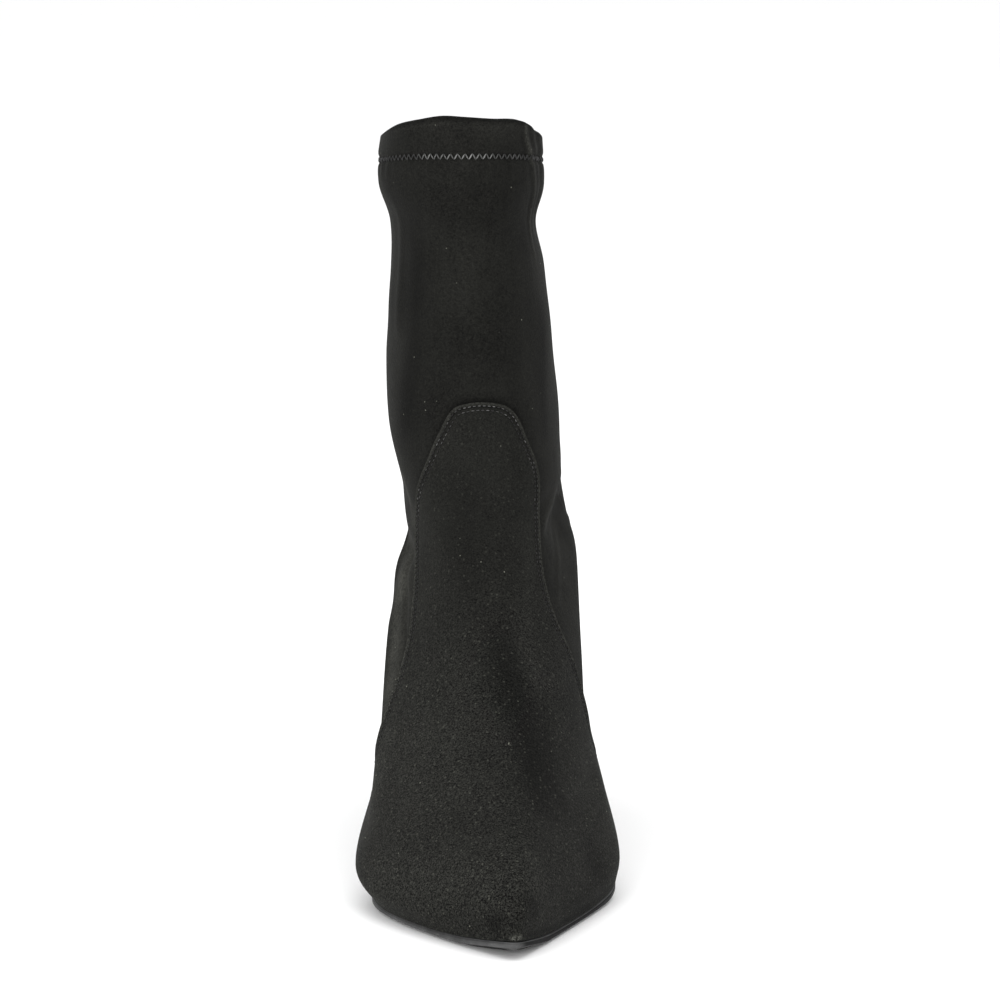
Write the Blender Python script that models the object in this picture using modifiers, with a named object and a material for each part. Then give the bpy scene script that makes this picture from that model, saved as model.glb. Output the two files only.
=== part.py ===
"""A right-foot stretch ankle boot: pointed sock upper, laid-on vamp, thin sole and slim covered heel.

The boot stands with its toe towards -Y, its outer (lateral) side towards -X and the floor at z = 0.
The upper is a family of closed rings that climb from the sole edge to the collar.  Each ring is an
egg-shaped outline in a tilted plane, and its sizes are read from a table by a smooth cubic.
"""
import math

import bpy
import numpy as np

# Driving sizes, in metres.
FOOT_LENGTH = 0.237
HEEL_SEAT = 0.082
TOE_SPRING = 0.0055
BALL_LATERAL = 0.0470
BALL_MEDIAL = 0.0350
COLLAR_FRONT = 0.2415
COLLAR_BACK = 0.2320
CENTRE_X = -0.00413
CENTRE_ALONG = 0.11834

# Walls, gaps and sheet thicknesses.
GAP = 0.0003
HEM_WALL = 0.0026
SHAFT_WALL = 0.0017
TOE_WALL = 0.0011
VAMP_THICK = 0.0008
SOLE_LIP = 0.0017
SEAT_LIP = 0.0004
LIP_FROM = 0.060
LIP_TO = 0.125
SOLE_ROUND = 0.0007
SOLE_DROP = 0.0038
EDGE_LIFT = 0.0013
END_WIDTH = 0.0030
INSOLE_INSET = 0.0027
INSOLE_THICK = 0.0016

# Heel block and its rubber top piece.
HEEL_TIP_THICK = 0.0060
HEEL_TIP_INSET = 0.0004
HEEL_STEPS = 9

# Mesh density.
RING_STEP = 0.4
TURNS = 44
SOLE_SECTIONS = 58
PATCH_COLUMNS = 48
PATCH_ROWS = 14
PATCH_DEPTH = 0.2
PATCH_ABOVE = 0.0028
SPINE_SHARE = 0.85
SLOPE_STEP = 0.0005

# Where the outline has finished narrowing behind the ball, as a share of the ring's length.
LATERAL_WAIST = 0.33
MEDIAL_WAIST = 0.43

# One row per ring, from the sole edge up to the collar.
#   front, front_up, back, back_up   ends of the ring, along the foot from the heel and above the floor
#   follow                           share of the sole's own curve that the ring keeps
#   drop                             dip of the ring at the two sides
#   lateral, medial                  half widths at the widest place
#   lat_at, med_at                   where the widest place is, 0 at the heel and 1 at the toe
#   lat_in, med_in                   how much narrower the heel is than the ball
#   point                            0 for a round toe, 1 for a pointed one
#   lat_bow, med_bow                 small for a straight toe side, large for a bowed one
#   cap, full                        length and fullness of the rounded heel end
#   mid_front, mid_back              sideways place of the ring's centre line
COLUMNS = (
    "front", "front_up", "back", "back_up", "follow", "drop", "lateral", "medial", "lat_at", "med_at",
    "lat_in", "med_in", "point", "lat_bow", "med_bow", "cap", "full", "mid_front", "mid_back",
)
RINGS = np.array((
    (FOOT_LENGTH, TOE_SPRING, 0.002, HEEL_SEAT, 1, 0,
     0.0420, 0.0330, 0.71, 0.68, 0.46, 0.30, 0.91, 0.48, 0.11, 0.20, 2.2, 0.002, 0.0025),
    (0.2365, 0.0110, -0.0005, HEEL_SEAT + 0.013, 0.97, 0,
     BALL_LATERAL, BALL_MEDIAL, 0.71, 0.68, 0.46, 0.30, 0.87, 0.54, 0.14, 0.22, 2.2, 0.002, 0.0025),
    (0.2300, 0.0200, -0.0015, HEEL_SEAT + 0.022, 0.86, 0,
     0.0432, 0.0318, 0.70, 0.67, 0.44, 0.27, 0.68, 0.65, 0.22, 0.24, 2.2, 0.002, 0.0025),
    (0.2120, 0.0305, -0.0010, HEEL_SEAT + 0.031, 0.68, 0,
     0.0398, 0.0272, 0.65, 0.63, 0.38, 0.19, 0.52, 0.80, 0.40, 0.26, 2.2, 0.002, 0.0025),
    (0.1820, 0.0450, 0.0005, HEEL_SEAT + 0.040, 0.45, 0,
     0.0360, 0.0270, 0.57, 0.57, 0.31, 0.10, 0.36, 1.20, 0.70, 0.30, 2.2, 0.001, 0.0020),
    (0.1520, 0.0660, 0.0030, HEEL_SEAT + 0.050, 0.25, 0,
     0.0315, 0.0268, 0.49, 0.50, 0.20, 0.03, 0.30, 2.00, 2.00, 0.36, 2.2, 0.000, 0.0015),
    (0.1260, 0.0940, 0.0060, HEEL_SEAT + 0.061, 0.10, 0,
     0.0280, 0.0248, 0.46, 0.46, 0.05, 0.00, 0.15, 2.00, 2.00, 0.43, 2.1, -0.001, 0.0005),
    (0.1090, 0.1240, 0.0085, HEEL_SEAT + 0.072, 0.02, 0,
     0.0294, 0.0264, 0.48, 0.48, 0, 0, 0.05, 2.00, 2.00, 0.48, 2.0, -0.004, -0.003),
    (0.1010, 0.1500, 0.0100, HEEL_SEAT + 0.083, 0, 0,
     0.0286, 0.0278, 0.50, 0.50, 0, 0, 0, 2.00, 2.00, 0.50, 2.0, -0.006, -0.006),
    (0.0970, 0.1710, 0.0100, 0.1770, 0, 0,
     0.0263, 0.0275, 0.50, 0.50, 0, 0, 0, 2.00, 2.00, 0.50, 2.0, -0.0072, -0.0072),
    (0.0960, 0.1900, 0.0090, 0.1890, 0, 0,
     0.0243, 0.0265, 0.50, 0.50, 0, 0, 0, 2.10, 2.10, 0.50, 2.0, -0.0082, -0.0082),
    (0.0955, 0.2060, 0.0090, 0.2020, 0, 0,
     0.0234, 0.0246, 0.50, 0.50, 0, 0, 0, 2.20, 2.20, 0.50, 2.1, -0.009, -0.009),
    (0.0970, 0.2210, 0.0075, 0.2150, 0, 0.001,
     0.0269, 0.0278, 0.50, 0.50, 0, 0, 0, 2.40, 2.40, 0.50, 2.2, -0.0098, -0.0098),
    (0.0965, COLLAR_FRONT, 0.0080, COLLAR_BACK, 0, 0.006,
     0.0248, 0.0266, 0.50, 0.50, 0, 0, 0, 2.60, 2.60, 0.50, 2.3, -0.010, -0.010),
))
HEM_RING = 12.15
TOP_RING = len(RINGS) - 1

# The line of the sole edge from heel to toe: along, up.
EDGE_LINE = np.array((
    (0.000, HEEL_SEAT), (0.030, 0.0795), (0.055, 0.0740), (0.080, 0.0620), (0.105, 0.0440),
    (0.130, 0.0245), (0.150, 0.0110), (0.165, 0.0056), (0.180, 0.0038), (0.200, 0.0034),
    (0.220, 0.0040), (0.238, TOE_SPRING),
))

# The vamp's sewn edge, from the lateral sole edge over the instep to the medial sole edge:
# degrees round the ring from the front (negative on the lateral side), ring number.
VAMP_EDGE = np.array((
    (-80.5, 0.9), (-78.8, 1.6), (-76.0, 2.4), (-71.5, 3.35), (-67.0, 4.05), (-63.5, 4.75),
    (-63.0, 5.45), (-62.0, 6.0), (-51.0, 6.6), (-36.0, 7.1), (-26.0, 7.5), (-15.5, 7.87),
    (-4.5, 7.98), (8.0, 7.99), (20.0, 7.91), (28.0, 7.73), (35.0, 7.39), (44.2, 6.92),
    (43.5, 6.48), (40.7, 6.1), (43.5, 5.69), (51.0, 5.23), (61.5, 4.66), (70.5, 4.07),
    (77.0, 3.2), (81.0, 2.2), (83.5, 1.5), (85.0, 0.9),
))

VAMP_FOOT_RING = 0.25
VAMP_SWEEP = 3

# Cuts across the two sheets: share across, inset of the edge, depth from the top face to the under face,
# and the share of the edge lift that the forefoot gets there.
SOLE_PROFILE = (
    (0.0, SOLE_ROUND / 2, 0.0, 0.0), (0.5, 0.0, 0.0, 0.0), (1.0, SOLE_ROUND / 2, 0.0, 0.0),
    (1.0, 0.0, 0.5, 0.5), (1.0, SOLE_ROUND, 1.0, 1.0), (0.9, 0.0, 1.0, 0.0), (0.5, 0.0, 1.0, 0.0),
    (0.1, 0.0, 1.0, 0.0), (0.0, SOLE_ROUND, 1.0, 1.0), (0.0, 0.0, 0.5, 0.5),
)
INSOLE_PROFILE = (
    (0.0, SOLE_ROUND, 0.0, 0.0), (0.5, 0.0, 0.0, 0.0), (1.0, SOLE_ROUND, 0.0, 0.0),
    (1.0, 0.0, 1.0, 0.0), (0.5, 0.0, 1.0, 0.0), (0.0, 0.0, 1.0, 0.0),
)

# The heel block, from the seat down: share of the height, back, breast, half width.
HEEL_ROWS = np.array((
    (0.00, 0.0032, 0.0600, 0.0232),
    (0.14, 0.0046, 0.0545, 0.0222),
    (0.35, 0.0072, 0.0470, 0.0192),
    (0.65, 0.0098, 0.0425, 0.0164),
    (1.00, 0.0108, 0.0408, 0.0150),
))
HEEL_MIDDLE_X = 0.0022
HEEL_TAIL = 0.42
HEEL_NOSE = 0.14
HEEL_SIDES = 36
HEEL_POWER = 2.4


def cubic(where, knots, values):
    """Smooth cubic through rows of values, its slopes taken from the neighbouring rows."""
    gaps = np.diff(knots)
    rises = np.diff(values, axis=0) / gaps.reshape((-1,) + (1,) * (values.ndim - 1))
    weights = gaps.reshape((-1,) + (1,) * (values.ndim - 1))
    slopes = np.empty_like(values)
    slopes[1:-1] = (rises[:-1] * weights[1:] + rises[1:] * weights[:-1]) / (weights[1:] + weights[:-1])
    slopes[0] = rises[0]
    slopes[-1] = rises[-1]
    cell = np.clip(np.searchsorted(knots, where, side="right") - 1, 0, len(knots) - 2)
    share = (where - knots[cell]) / gaps[cell]
    width = gaps[cell]
    if values.ndim > 1:
        share = share[..., None]
        width = width[..., None]
    return (
        (1 + 2 * share) * (1 - share) ** 2 * values[cell]
        + share * (1 - share) ** 2 * width * slopes[cell]
        + share ** 2 * (3 - 2 * share) * values[cell + 1]
        + share ** 2 * (share - 1) * width * slopes[cell + 1]
    )


def edge_up(along):
    """Height of the sole edge at a distance along the foot."""
    return cubic(along, EDGE_LINE[:, 0], EDGE_LINE[:, 1])


def ring_sizes(ring):
    """Every column of the ring table at fractional ring numbers."""
    rows = cubic(ring, np.arange(len(RINGS), dtype=float), RINGS)
    return {name: rows[..., column] for column, name in enumerate(COLUMNS)}


def half_share(share, widest, narrower, waist, point, bow, cap, full):
    """Half width of a ring as a share of its widest: pointed ahead of the ball, rounded at the heel."""
    ahead = np.clip((share - widest) / (1 - widest), 0, 1)
    taper = 1 - (np.sqrt(ahead ** 2 + bow ** 2) - bow) / (np.sqrt(1 + bow ** 2) - bow)
    taper = np.clip(taper, 0, 1)
    nose = np.sqrt(point * taper ** 2 + (1 - point) * taper)
    behind = np.clip((widest - share) / np.maximum(widest - waist, SLOPE_STEP), 0, 1)
    heel = 1 - narrower * behind ** 2 * (3 - 2 * behind)
    tail = np.sqrt(1 - np.clip((cap - share) / cap, 0, 1) ** full)
    return np.where(share > widest, nose, heel * tail)


def skin(ring, turn):
    """Outer surface of the upper: turn is 0 at the heel, pi at the toe, lateral side first."""
    size = ring_sizes(ring)
    share = (1 - np.cos(turn)) / 2
    along = size["back"] + (size["front"] - size["back"]) * share
    base = RINGS[0]
    base_along = base[2] + (base[0] - base[2]) * share
    sag = edge_up(base_along) - (base[3] + (base[1] - base[3]) * share)
    up = size["back_up"] + (size["front_up"] - size["back_up"]) * share
    up = up + size["follow"] * sag - size["drop"] * np.sin(turn) ** 4
    lateral = size["lateral"] * half_share(
        share, size["lat_at"], size["lat_in"], LATERAL_WAIST, size["point"], size["lat_bow"],
        size["cap"], size["full"])
    medial = size["medial"] * half_share(
        share, size["med_at"], size["med_in"], MEDIAL_WAIST, size["point"], size["med_bow"],
        size["cap"], size["full"])
    middle = size["mid_back"] + (size["mid_front"] - size["mid_back"]) * share
    across = middle + np.where(np.sin(turn) >= 0, -lateral, medial)
    return np.stack((across - CENTRE_X, CENTRE_ALONG - along, up), axis=-1)


def skin_out(ring, turn):
    """Unit outward direction of the upper's surface."""
    low = np.maximum(ring - SLOPE_STEP, 0)
    high = np.minimum(ring + SLOPE_STEP, TOP_RING)
    climb = skin(high, turn) - skin(low, turn)
    round_it = skin(ring, turn + SLOPE_STEP) - skin(ring, turn - SLOPE_STEP)
    out = np.cross(round_it, climb)
    return out / np.linalg.norm(out, axis=-1, keepdims=True)


def spine(ring, turn):
    """Middle line of a ring, drawn back from its front end, that a surface point can sink towards."""
    share = SPINE_SHARE * (1 - np.cos(turn)) / 2
    drawn_back = np.arccos(1 - 2 * share)
    return (skin(ring, drawn_back) + skin(ring, 2 * math.pi - drawn_back)) / 2


def lattice():
    """Ring numbers and turns shared by the upper and the sheet laid on it."""
    rings = np.arange(0, TOP_RING + RING_STEP / 2, RING_STEP)
    rings[-1] = TOP_RING
    turns = np.arange(TURNS) * 2 * math.pi / TURNS
    return np.meshgrid(rings, turns, indexing="ij")


def new_object(collection, name, points, faces):
    """A mesh object from points and faces."""
    mesh = bpy.data.meshes.new(name)
    mesh.from_pydata([tuple(point) for point in points], [], faces)
    mesh.update()
    item = bpy.data.objects.new(name, mesh)
    collection.objects.link(item)
    return item


def grid_faces(rows, columns, closed):
    """Quads of a grid, closed round its columns if asked, facing out of the ring."""
    faces = []
    for row in range(rows - 1):
        for column in range(columns if closed else columns - 1):
            after = (column + 1) % columns
            here = row * columns
            above = here + columns
            faces.append((here + column, here + after, above + after, above + column))
    return faces


def shell_faces(rows, columns):
    """Faces of a thick sheet: its outer grid, its inner grid numbered after it, and the rim between."""
    outer = grid_faces(rows, columns, False)
    count = rows * columns
    inner = [tuple(corner + count for corner in reversed(face)) for face in outer]
    rim = list(range(columns))
    rim += [row * columns + columns - 1 for row in range(1, rows)]
    rim += list(range(count - 2, count - columns - 1, -1))
    rim += [row * columns for row in range(rows - 2, 0, -1)]
    sides = [(after, here, here + count, after + count) for here, after in zip(rim, rim[1:] + rim[:1])]
    return outer + inner + sides


def loft_faces(rows, columns):
    """Quads between closed sections with a flat face on both ends."""
    faces = grid_faces(rows, columns, True)
    faces.append(tuple(range(columns - 1, -1, -1)))
    faces.append(tuple(range((rows - 1) * columns, rows * columns)))
    return faces


def paint(item, name, colour, roughness):
    """Give an object its own plain material."""
    material = bpy.data.materials.new(name)
    material.use_nodes = True
    shader = material.node_tree.nodes["Principled BSDF"]
    shader.inputs["Base Color"].default_value = (*colour, 1)
    shader.inputs["Roughness"].default_value = roughness
    item.data.materials.append(material)


def split_quads(item):
    """Cut every quad along the same diagonal."""
    cut = item.modifiers.new("triangles", "TRIANGULATE")
    cut.quad_method = "FIXED"


def thicken(item, thickness, side):
    """Turn a sheet into a solid on its outer (1) or inner (-1) side."""
    wall = item.modifiers.new("wall", "SOLIDIFY")
    wall.thickness = thickness
    wall.offset = side
    wall.use_rim = True
    return wall


def build_upper(collection):
    """The stretch upper: one hollow shell, thicker in the folded hem and thinner in the toe."""
    ring, turn = lattice()
    points = skin(ring, turn)
    item = new_object(collection, "upper", points.reshape(-1, 3), grid_faces(*ring.shape, True))
    ahead = np.clip((points[..., 1] - (CENTRE_ALONG - FOOT_LENGTH)) / 0.030, 0, 1)
    wall = TOE_WALL + (SHAFT_WALL - TOE_WALL) * ahead
    wall = np.where(ring >= HEM_RING, HEM_WALL, wall)
    group = item.vertex_groups.new(name="wall")
    for index, value in enumerate(wall.ravel() / HEM_WALL):
        group.add([index], float(value), "REPLACE")
    split_quads(item)
    thicken(item, HEM_WALL, -1).vertex_group = "wall"
    paint(item, "stretch_suede", (0.02, 0.02, 0.019), 0.9)
    return item


def build_vamp(collection, cutters):
    """The laid-on vamp: the sheet just outside the upper, cut along its sewn edge."""
    ring, turn = lattice()
    points = skin(ring, turn) + GAP * skin_out(ring, turn)
    item = new_object(collection, "vamp", points.reshape(-1, 3), grid_faces(*ring.shape, True))
    split_quads(item)
    thicken(item, VAMP_THICK, 1)

    steps = np.linspace(0, len(VAMP_EDGE) - 1, PATCH_COLUMNS)
    edge = cubic(steps, np.arange(len(VAMP_EDGE), dtype=float), VAMP_EDGE)
    foot = np.linspace(VAMP_EDGE[0, 0], VAMP_EDGE[-1, 0], PATCH_COLUMNS)
    rise = np.linspace(0, 1, PATCH_ROWS)[:, None]
    patch_ring = VAMP_FOOT_RING + (edge[:, 1] - VAMP_FOOT_RING) * rise
    patch_turn = np.radians(180 + foot + (edge[:, 0] - foot) * rise ** VAMP_SWEEP)
    on_skin = skin(patch_ring, patch_turn)
    outer = on_skin + PATCH_ABOVE * skin_out(patch_ring, patch_turn)
    inner = on_skin + PATCH_DEPTH * (spine(patch_ring, patch_turn) - on_skin)
    points = np.concatenate((outer.reshape(-1, 3), inner.reshape(-1, 3)))
    patch = new_object(cutters, "vamp_cutter", points, shell_faces(*patch_ring.shape))
    patch.hide_render = True
    patch.display_type = "WIRE"

    cut = item.modifiers.new("sewn_edge", "BOOLEAN")
    cut.operation = "INTERSECT"
    cut.solver = "EXACT"
    cut.object = patch
    paint(item, "vamp_suede", (0.025, 0.025, 0.024), 0.85)
    return item


def forefoot(along):
    """Share of the way from the seat's thin, close edge (0) to the forefoot's standing edge (1)."""
    return np.clip((along - LIP_FROM) / (LIP_TO - LIP_FROM), 0, 1)


def slab(collection, name, lips, profile, top, under):
    """A sole-shaped sheet: sections across the foot, set out from the edge line by a lip.

    lips are the lip at the heel and at the forefoot.
    profile rows give one cut, lateral top first: share across, inset of the edge, depth from top to under,
    share of the edge lift.
    """
    turns = np.linspace(0, math.pi, SOLE_SECTIONS + 2)[1:-1]
    edges = []
    for way in (turns, 2 * math.pi - turns):
        flat = skin_out(np.zeros_like(way), way) * (1, 1, 0)
        flat /= np.linalg.norm(flat, axis=-1, keepdims=True)
        edge = skin(np.zeros_like(way), way)
        ahead = forefoot(CENTRE_ALONG - edge[:, 1:2])
        edges.append(edge + (lips[0] + (lips[1] - lips[0]) * ahead) * flat)
    lateral, medial = edges
    wide = (medial[:, 0] - lateral[:, 0]) > END_WIDTH
    lateral = lateral[wide]
    medial = medial[wide]
    lines = []
    for share, inset, depth, lift in profile:
        across = lateral[:, 0] + inset + (medial[:, 0] - lateral[:, 0] - 2 * inset) * share
        back = lateral[:, 1] + (medial[:, 1] - lateral[:, 1]) * share
        along = CENTRE_ALONG - back
        height = top(along) + (under(along) - top(along)) * depth + lift * EDGE_LIFT * forefoot(along)
        lines.append(np.stack((across, back, height), axis=-1))
    points = np.stack(lines, axis=1)[::-1]
    return new_object(collection, name, points.reshape(-1, 3), loft_faces(*points.shape[:2]))


def sole_top(along):
    """Upper face of the outsole, just under the upper's edge."""
    return edge_up(along) - GAP


def sole_under(along):
    """Underside of the sole: a flat tread at the ball, lifted at the toe and up the arch."""
    return np.maximum(edge_up(along) - SOLE_DROP, 0)


def insole_top(along):
    """Upper face of the insole."""
    return edge_up(along) + INSOLE_THICK


def build_outsole(collection):
    """The thin outsole, from toe tip to heel seat, a lip wider than the upper."""
    item = slab(collection, "outsole", (SEAT_LIP, SOLE_LIP), SOLE_PROFILE, sole_top, sole_under)
    paint(item, "sole_rubber", (0.012, 0.012, 0.012), 0.3)
    return item


def build_insole(collection):
    """The padded sock inside, resting on the outsole within the upper's wall."""
    item = slab(collection, "insole", (-INSOLE_INSET, -INSOLE_INSET), INSOLE_PROFILE, insole_top, edge_up)
    paint(item, "insole_cloth", (0.03, 0.028, 0.026), 0.8)
    return item


def heel_outline(back, breast, half, turns):
    """One level outline of the heel: round at the back, softly cornered at the breast."""
    share = (1 - np.cos(turns)) / 2
    tail = np.sqrt(1 - np.clip((HEEL_TAIL - share) / HEEL_TAIL, 0, 1) ** HEEL_POWER)
    nose = np.sqrt(1 - np.clip((share - 1 + HEEL_NOSE) / HEEL_NOSE, 0, 1) ** HEEL_POWER)
    across = HEEL_MIDDLE_X + np.where(np.sin(turns) >= 0, -1, 1) * half * tail * nose
    return across - CENTRE_X, back + (breast - back) * share


def build_heel(collection):
    """The slim covered heel, its top shaped to the seat, narrowing to the top piece."""
    turns = (np.arange(HEEL_SIDES) + 0.5) * 2 * math.pi / HEEL_SIDES
    floor = HEEL_TIP_THICK + GAP
    rows = []
    for fall in np.linspace(1, 0, HEEL_STEPS):
        _, back, breast, half = cubic(np.array(fall), HEEL_ROWS[:, 0], HEEL_ROWS)
        across, along = heel_outline(back, breast, half, turns)
        seat = sole_under(along) - GAP
        rows.append(np.stack((across, CENTRE_ALONG - along, seat + (floor - seat) * fall), axis=-1))
    points = np.stack(rows)
    item = new_object(collection, "heel", points.reshape(-1, 3), loft_faces(*points.shape[:2]))
    paint(item, "heel_suede", (0.02, 0.02, 0.019), 0.9)
    return item


def build_heel_tip(collection):
    """The rubber top piece under the heel, flat on the floor."""
    turns = (np.arange(HEEL_SIDES) + 0.5) * 2 * math.pi / HEEL_SIDES
    _, back, breast, half = HEEL_ROWS[-1]
    rows = []
    for height in (0.0, HEEL_TIP_THICK):
        across, along = heel_outline(
            back + HEEL_TIP_INSET, breast - HEEL_TIP_INSET, half - HEEL_TIP_INSET, turns)
        rows.append(np.stack((across, CENTRE_ALONG - along, np.full_like(along, height)), axis=-1))
    points = np.stack(rows)
    item = new_object(collection, "heel_tip", points.reshape(-1, 3), loft_faces(*points.shape[:2]))
    paint(item, "tip_rubber", (0.015, 0.015, 0.015), 0.6)
    return item


def main():
    """Build the boot's pieces in one collection, with the cutter in another."""
    for item in list(bpy.data.objects):
        bpy.data.objects.remove(item, do_unlink=True)
    boot = bpy.data.collections.new("stretch_ankle_boot")
    cutters = bpy.data.collections.new("cutters")
    bpy.context.scene.collection.children.link(boot)
    bpy.context.scene.collection.children.link(cutters)
    build_outsole(boot)
    build_insole(boot)
    build_upper(boot)
    build_vamp(boot, cutters)
    build_heel(boot)
    build_heel_tip(boot)


main()
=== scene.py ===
"""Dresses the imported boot: a right-foot black suede sock boot with a laid-on vamp, thin sole and slim heel.

The boot stands with its toe towards -Y, its outer (lateral) side towards -X and the floor at z = 0, all in
metres.  Every soft surface is a function of two numbers: the ring, from the sole edge (0) to the collar (13),
and the turn round the foot, 0 at the heel and pi at the toe with the lateral side first.
"""

import logging
import math
from dataclasses import astuple, dataclass
from enum import Enum

import bmesh
import bpy
import numpy as np
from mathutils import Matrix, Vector


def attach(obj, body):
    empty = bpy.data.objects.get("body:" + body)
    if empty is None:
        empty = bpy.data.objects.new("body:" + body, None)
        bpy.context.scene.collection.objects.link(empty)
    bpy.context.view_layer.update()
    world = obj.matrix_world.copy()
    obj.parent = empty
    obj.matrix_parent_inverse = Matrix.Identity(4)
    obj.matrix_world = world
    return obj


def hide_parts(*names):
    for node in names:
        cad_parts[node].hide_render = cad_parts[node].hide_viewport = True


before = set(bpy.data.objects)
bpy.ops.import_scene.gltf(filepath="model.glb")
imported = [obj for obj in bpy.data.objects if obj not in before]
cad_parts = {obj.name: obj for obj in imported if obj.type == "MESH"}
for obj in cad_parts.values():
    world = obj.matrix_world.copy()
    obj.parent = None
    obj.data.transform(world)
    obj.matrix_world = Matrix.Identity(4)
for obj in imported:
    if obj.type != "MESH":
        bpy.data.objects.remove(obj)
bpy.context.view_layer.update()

LOG = logging.getLogger("stretch_ankle_boot")
BODY = "root"
MM = 0.001
GAP = 0.3 * MM
SLOPE_STEP = 0.0005
TONE = "tone"
# A Wave texture at scale 1 repeats its bands every 0.314 m.
WAVE_REPEAT = 0.314

Array = np.ndarray
Triple = tuple[float, float, float]
Colour = Triple
Span = tuple[float, float]
Line = tuple[Span, ...]


class Slot(Enum):
    """Names of the record's material slots."""

    UPPER = "stretch_suede"
    VAMP = "vamp_suede"
    SOLE = "sole_edge"
    INSOLE = "insole_sock"
    HEEL = "heel_cover"
    TIP = "tip_rubber"


# Plain geometry


def cubic(where: Array, knots: Array, values: Array) -> Array:
    """Smooth cubic through rows of values, its slopes taken from the neighbouring rows.

    Args:
        where: places to read, on the scale of the knots.
        knots: rising places of the rows.
        values: one row per knot.

    Returns:
        The rows read at each place.
    """
    gaps = np.diff(knots)
    weights = gaps.reshape((-1,) + (1,) * (values.ndim - 1))
    rises = np.diff(values, axis=0) / weights
    slopes = np.empty_like(values)
    slopes[1:-1] = (rises[:-1] * weights[1:] + rises[1:] * weights[:-1]) / (weights[1:] + weights[:-1])
    slopes[0] = rises[0]
    slopes[-1] = rises[-1]
    cell = np.clip(np.searchsorted(knots, where, side="right") - 1, 0, len(knots) - 2)
    width = gaps[cell]
    share = (where - knots[cell]) / width
    if values.ndim > 1:
        share = share[..., None]
        width = width[..., None]
    return (
        (1 + 2 * share) * (1 - share) ** 2 * values[cell]
        + share * (1 - share) ** 2 * width * slopes[cell]
        + share ** 2 * (3 - 2 * share) * values[cell + 1]
        + share ** 2 * (share - 1) * width * slopes[cell + 1]
    )


def ease(low: float, high: float, value: Array) -> Array:
    """Smooth step from 0 at low to 1 at high."""
    share = np.clip((value - low) / (high - low), 0, 1)
    return share * share * (3 - 2 * share)


def window(value: Array, rise: Span, fall: Span) -> Array:
    """1 along a stretch of the value, eased into over rise and out of over fall, and 0 beyond them."""
    return ease(*rise, value) * ease(*fall, value)


def bell(distance: Array, width: float) -> Array:
    """A soft bump, 1 at no distance, falling to a third at the width."""
    return np.exp(-((distance / width) ** 2))


def unit(vectors: Array) -> Array:
    """Vectors scaled to length one."""
    return vectors / np.linalg.norm(vectors, axis=-1, keepdims=True)


def through(line: Line, count: int) -> Array:
    """Read a smooth curve through the points of a drawn line, at evenly counted steps.

    Args:
        line: the points, in order.
        count: how many places to read.

    Returns:
        One row per place.
    """
    rows = np.array(line)
    steps = np.linspace(0, len(rows) - 1, count)
    return cubic(steps, np.arange(len(rows), dtype=float), rows)


def run_length(points: Array) -> Array:
    """Length of a chain of points up to each of them: the running sum of its steps, from 0."""
    steps = np.linalg.norm(np.diff(points, axis=0), axis=-1)
    return np.concatenate(((0.0,), np.cumsum(steps)))


def path_distance(points: Array, path: Array) -> tuple[Array, Array]:
    """Distance of points from a chain of straight runs, and the share of the chain where they come nearest.

    Args:
        points: any array of places, with x, y and z last.
        path: the chain's corners, in order.

    Returns:
        The distances, and the shares from 0 at the first corner to 1 at the last.
    """
    nearest = np.full(points.shape[:-1], np.inf)
    place = np.zeros(points.shape[:-1])
    runs = len(path) - 1
    for run in range(runs):
        start = path[run]
        along = path[run + 1] - start
        share = np.clip(((points - start) @ along) / (along @ along), 0, 1)
        distance = np.linalg.norm(points - start - share[..., None] * along, axis=-1)
        closer = distance < nearest
        nearest = np.where(closer, distance, nearest)
        place = np.where(closer, (run + share) / runs, place)
    return nearest, place


def quads(rows: int, columns: int, wrap_rows: bool = False, wrap_columns: bool = False) -> Array:
    """Corner numbers of a grid's quads, facing along columns cross rows.

    Args:
        rows: points down the grid.
        columns: points across it.
        wrap_rows: joins the last row to the first.
        wrap_columns: joins the last column to the first.

    Returns:
        One row of four corners per quad.
    """
    row = np.arange(rows if wrap_rows else rows - 1)[:, None]
    column = np.arange(columns if wrap_columns else columns - 1)[None, :]
    above = (row + 1) % rows
    after = (column + 1) % columns
    corners = ((row, column), (row, after), (above, after), (above, column))
    return np.stack([down * columns + over for down, over in corners], axis=-1).reshape(-1, 4)


def capped(rows: int, columns: int) -> list[list[int]]:
    """Faces of a closed loft: its quads, with one flat face on each end.

    Args:
        rows: loops along the loft.
        columns: points round each loop.

    Returns:
        Corner numbers of each face.
    """
    faces = quads(rows, columns, wrap_columns=True).tolist()
    faces.append(list(range(columns - 1, -1, -1)))
    faces.append(list(range((rows - 1) * columns, rows * columns)))
    return faces


def add_object(name: str, data: bpy.types.ID) -> bpy.types.Object:
    """Put a mesh, a light or a camera into the scene.

    Args:
        name: the object's name.
        data: what it shows.

    Returns:
        The new object.
    """
    item = bpy.data.objects.new(name, data)
    bpy.context.scene.collection.objects.link(item)
    return item


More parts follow.
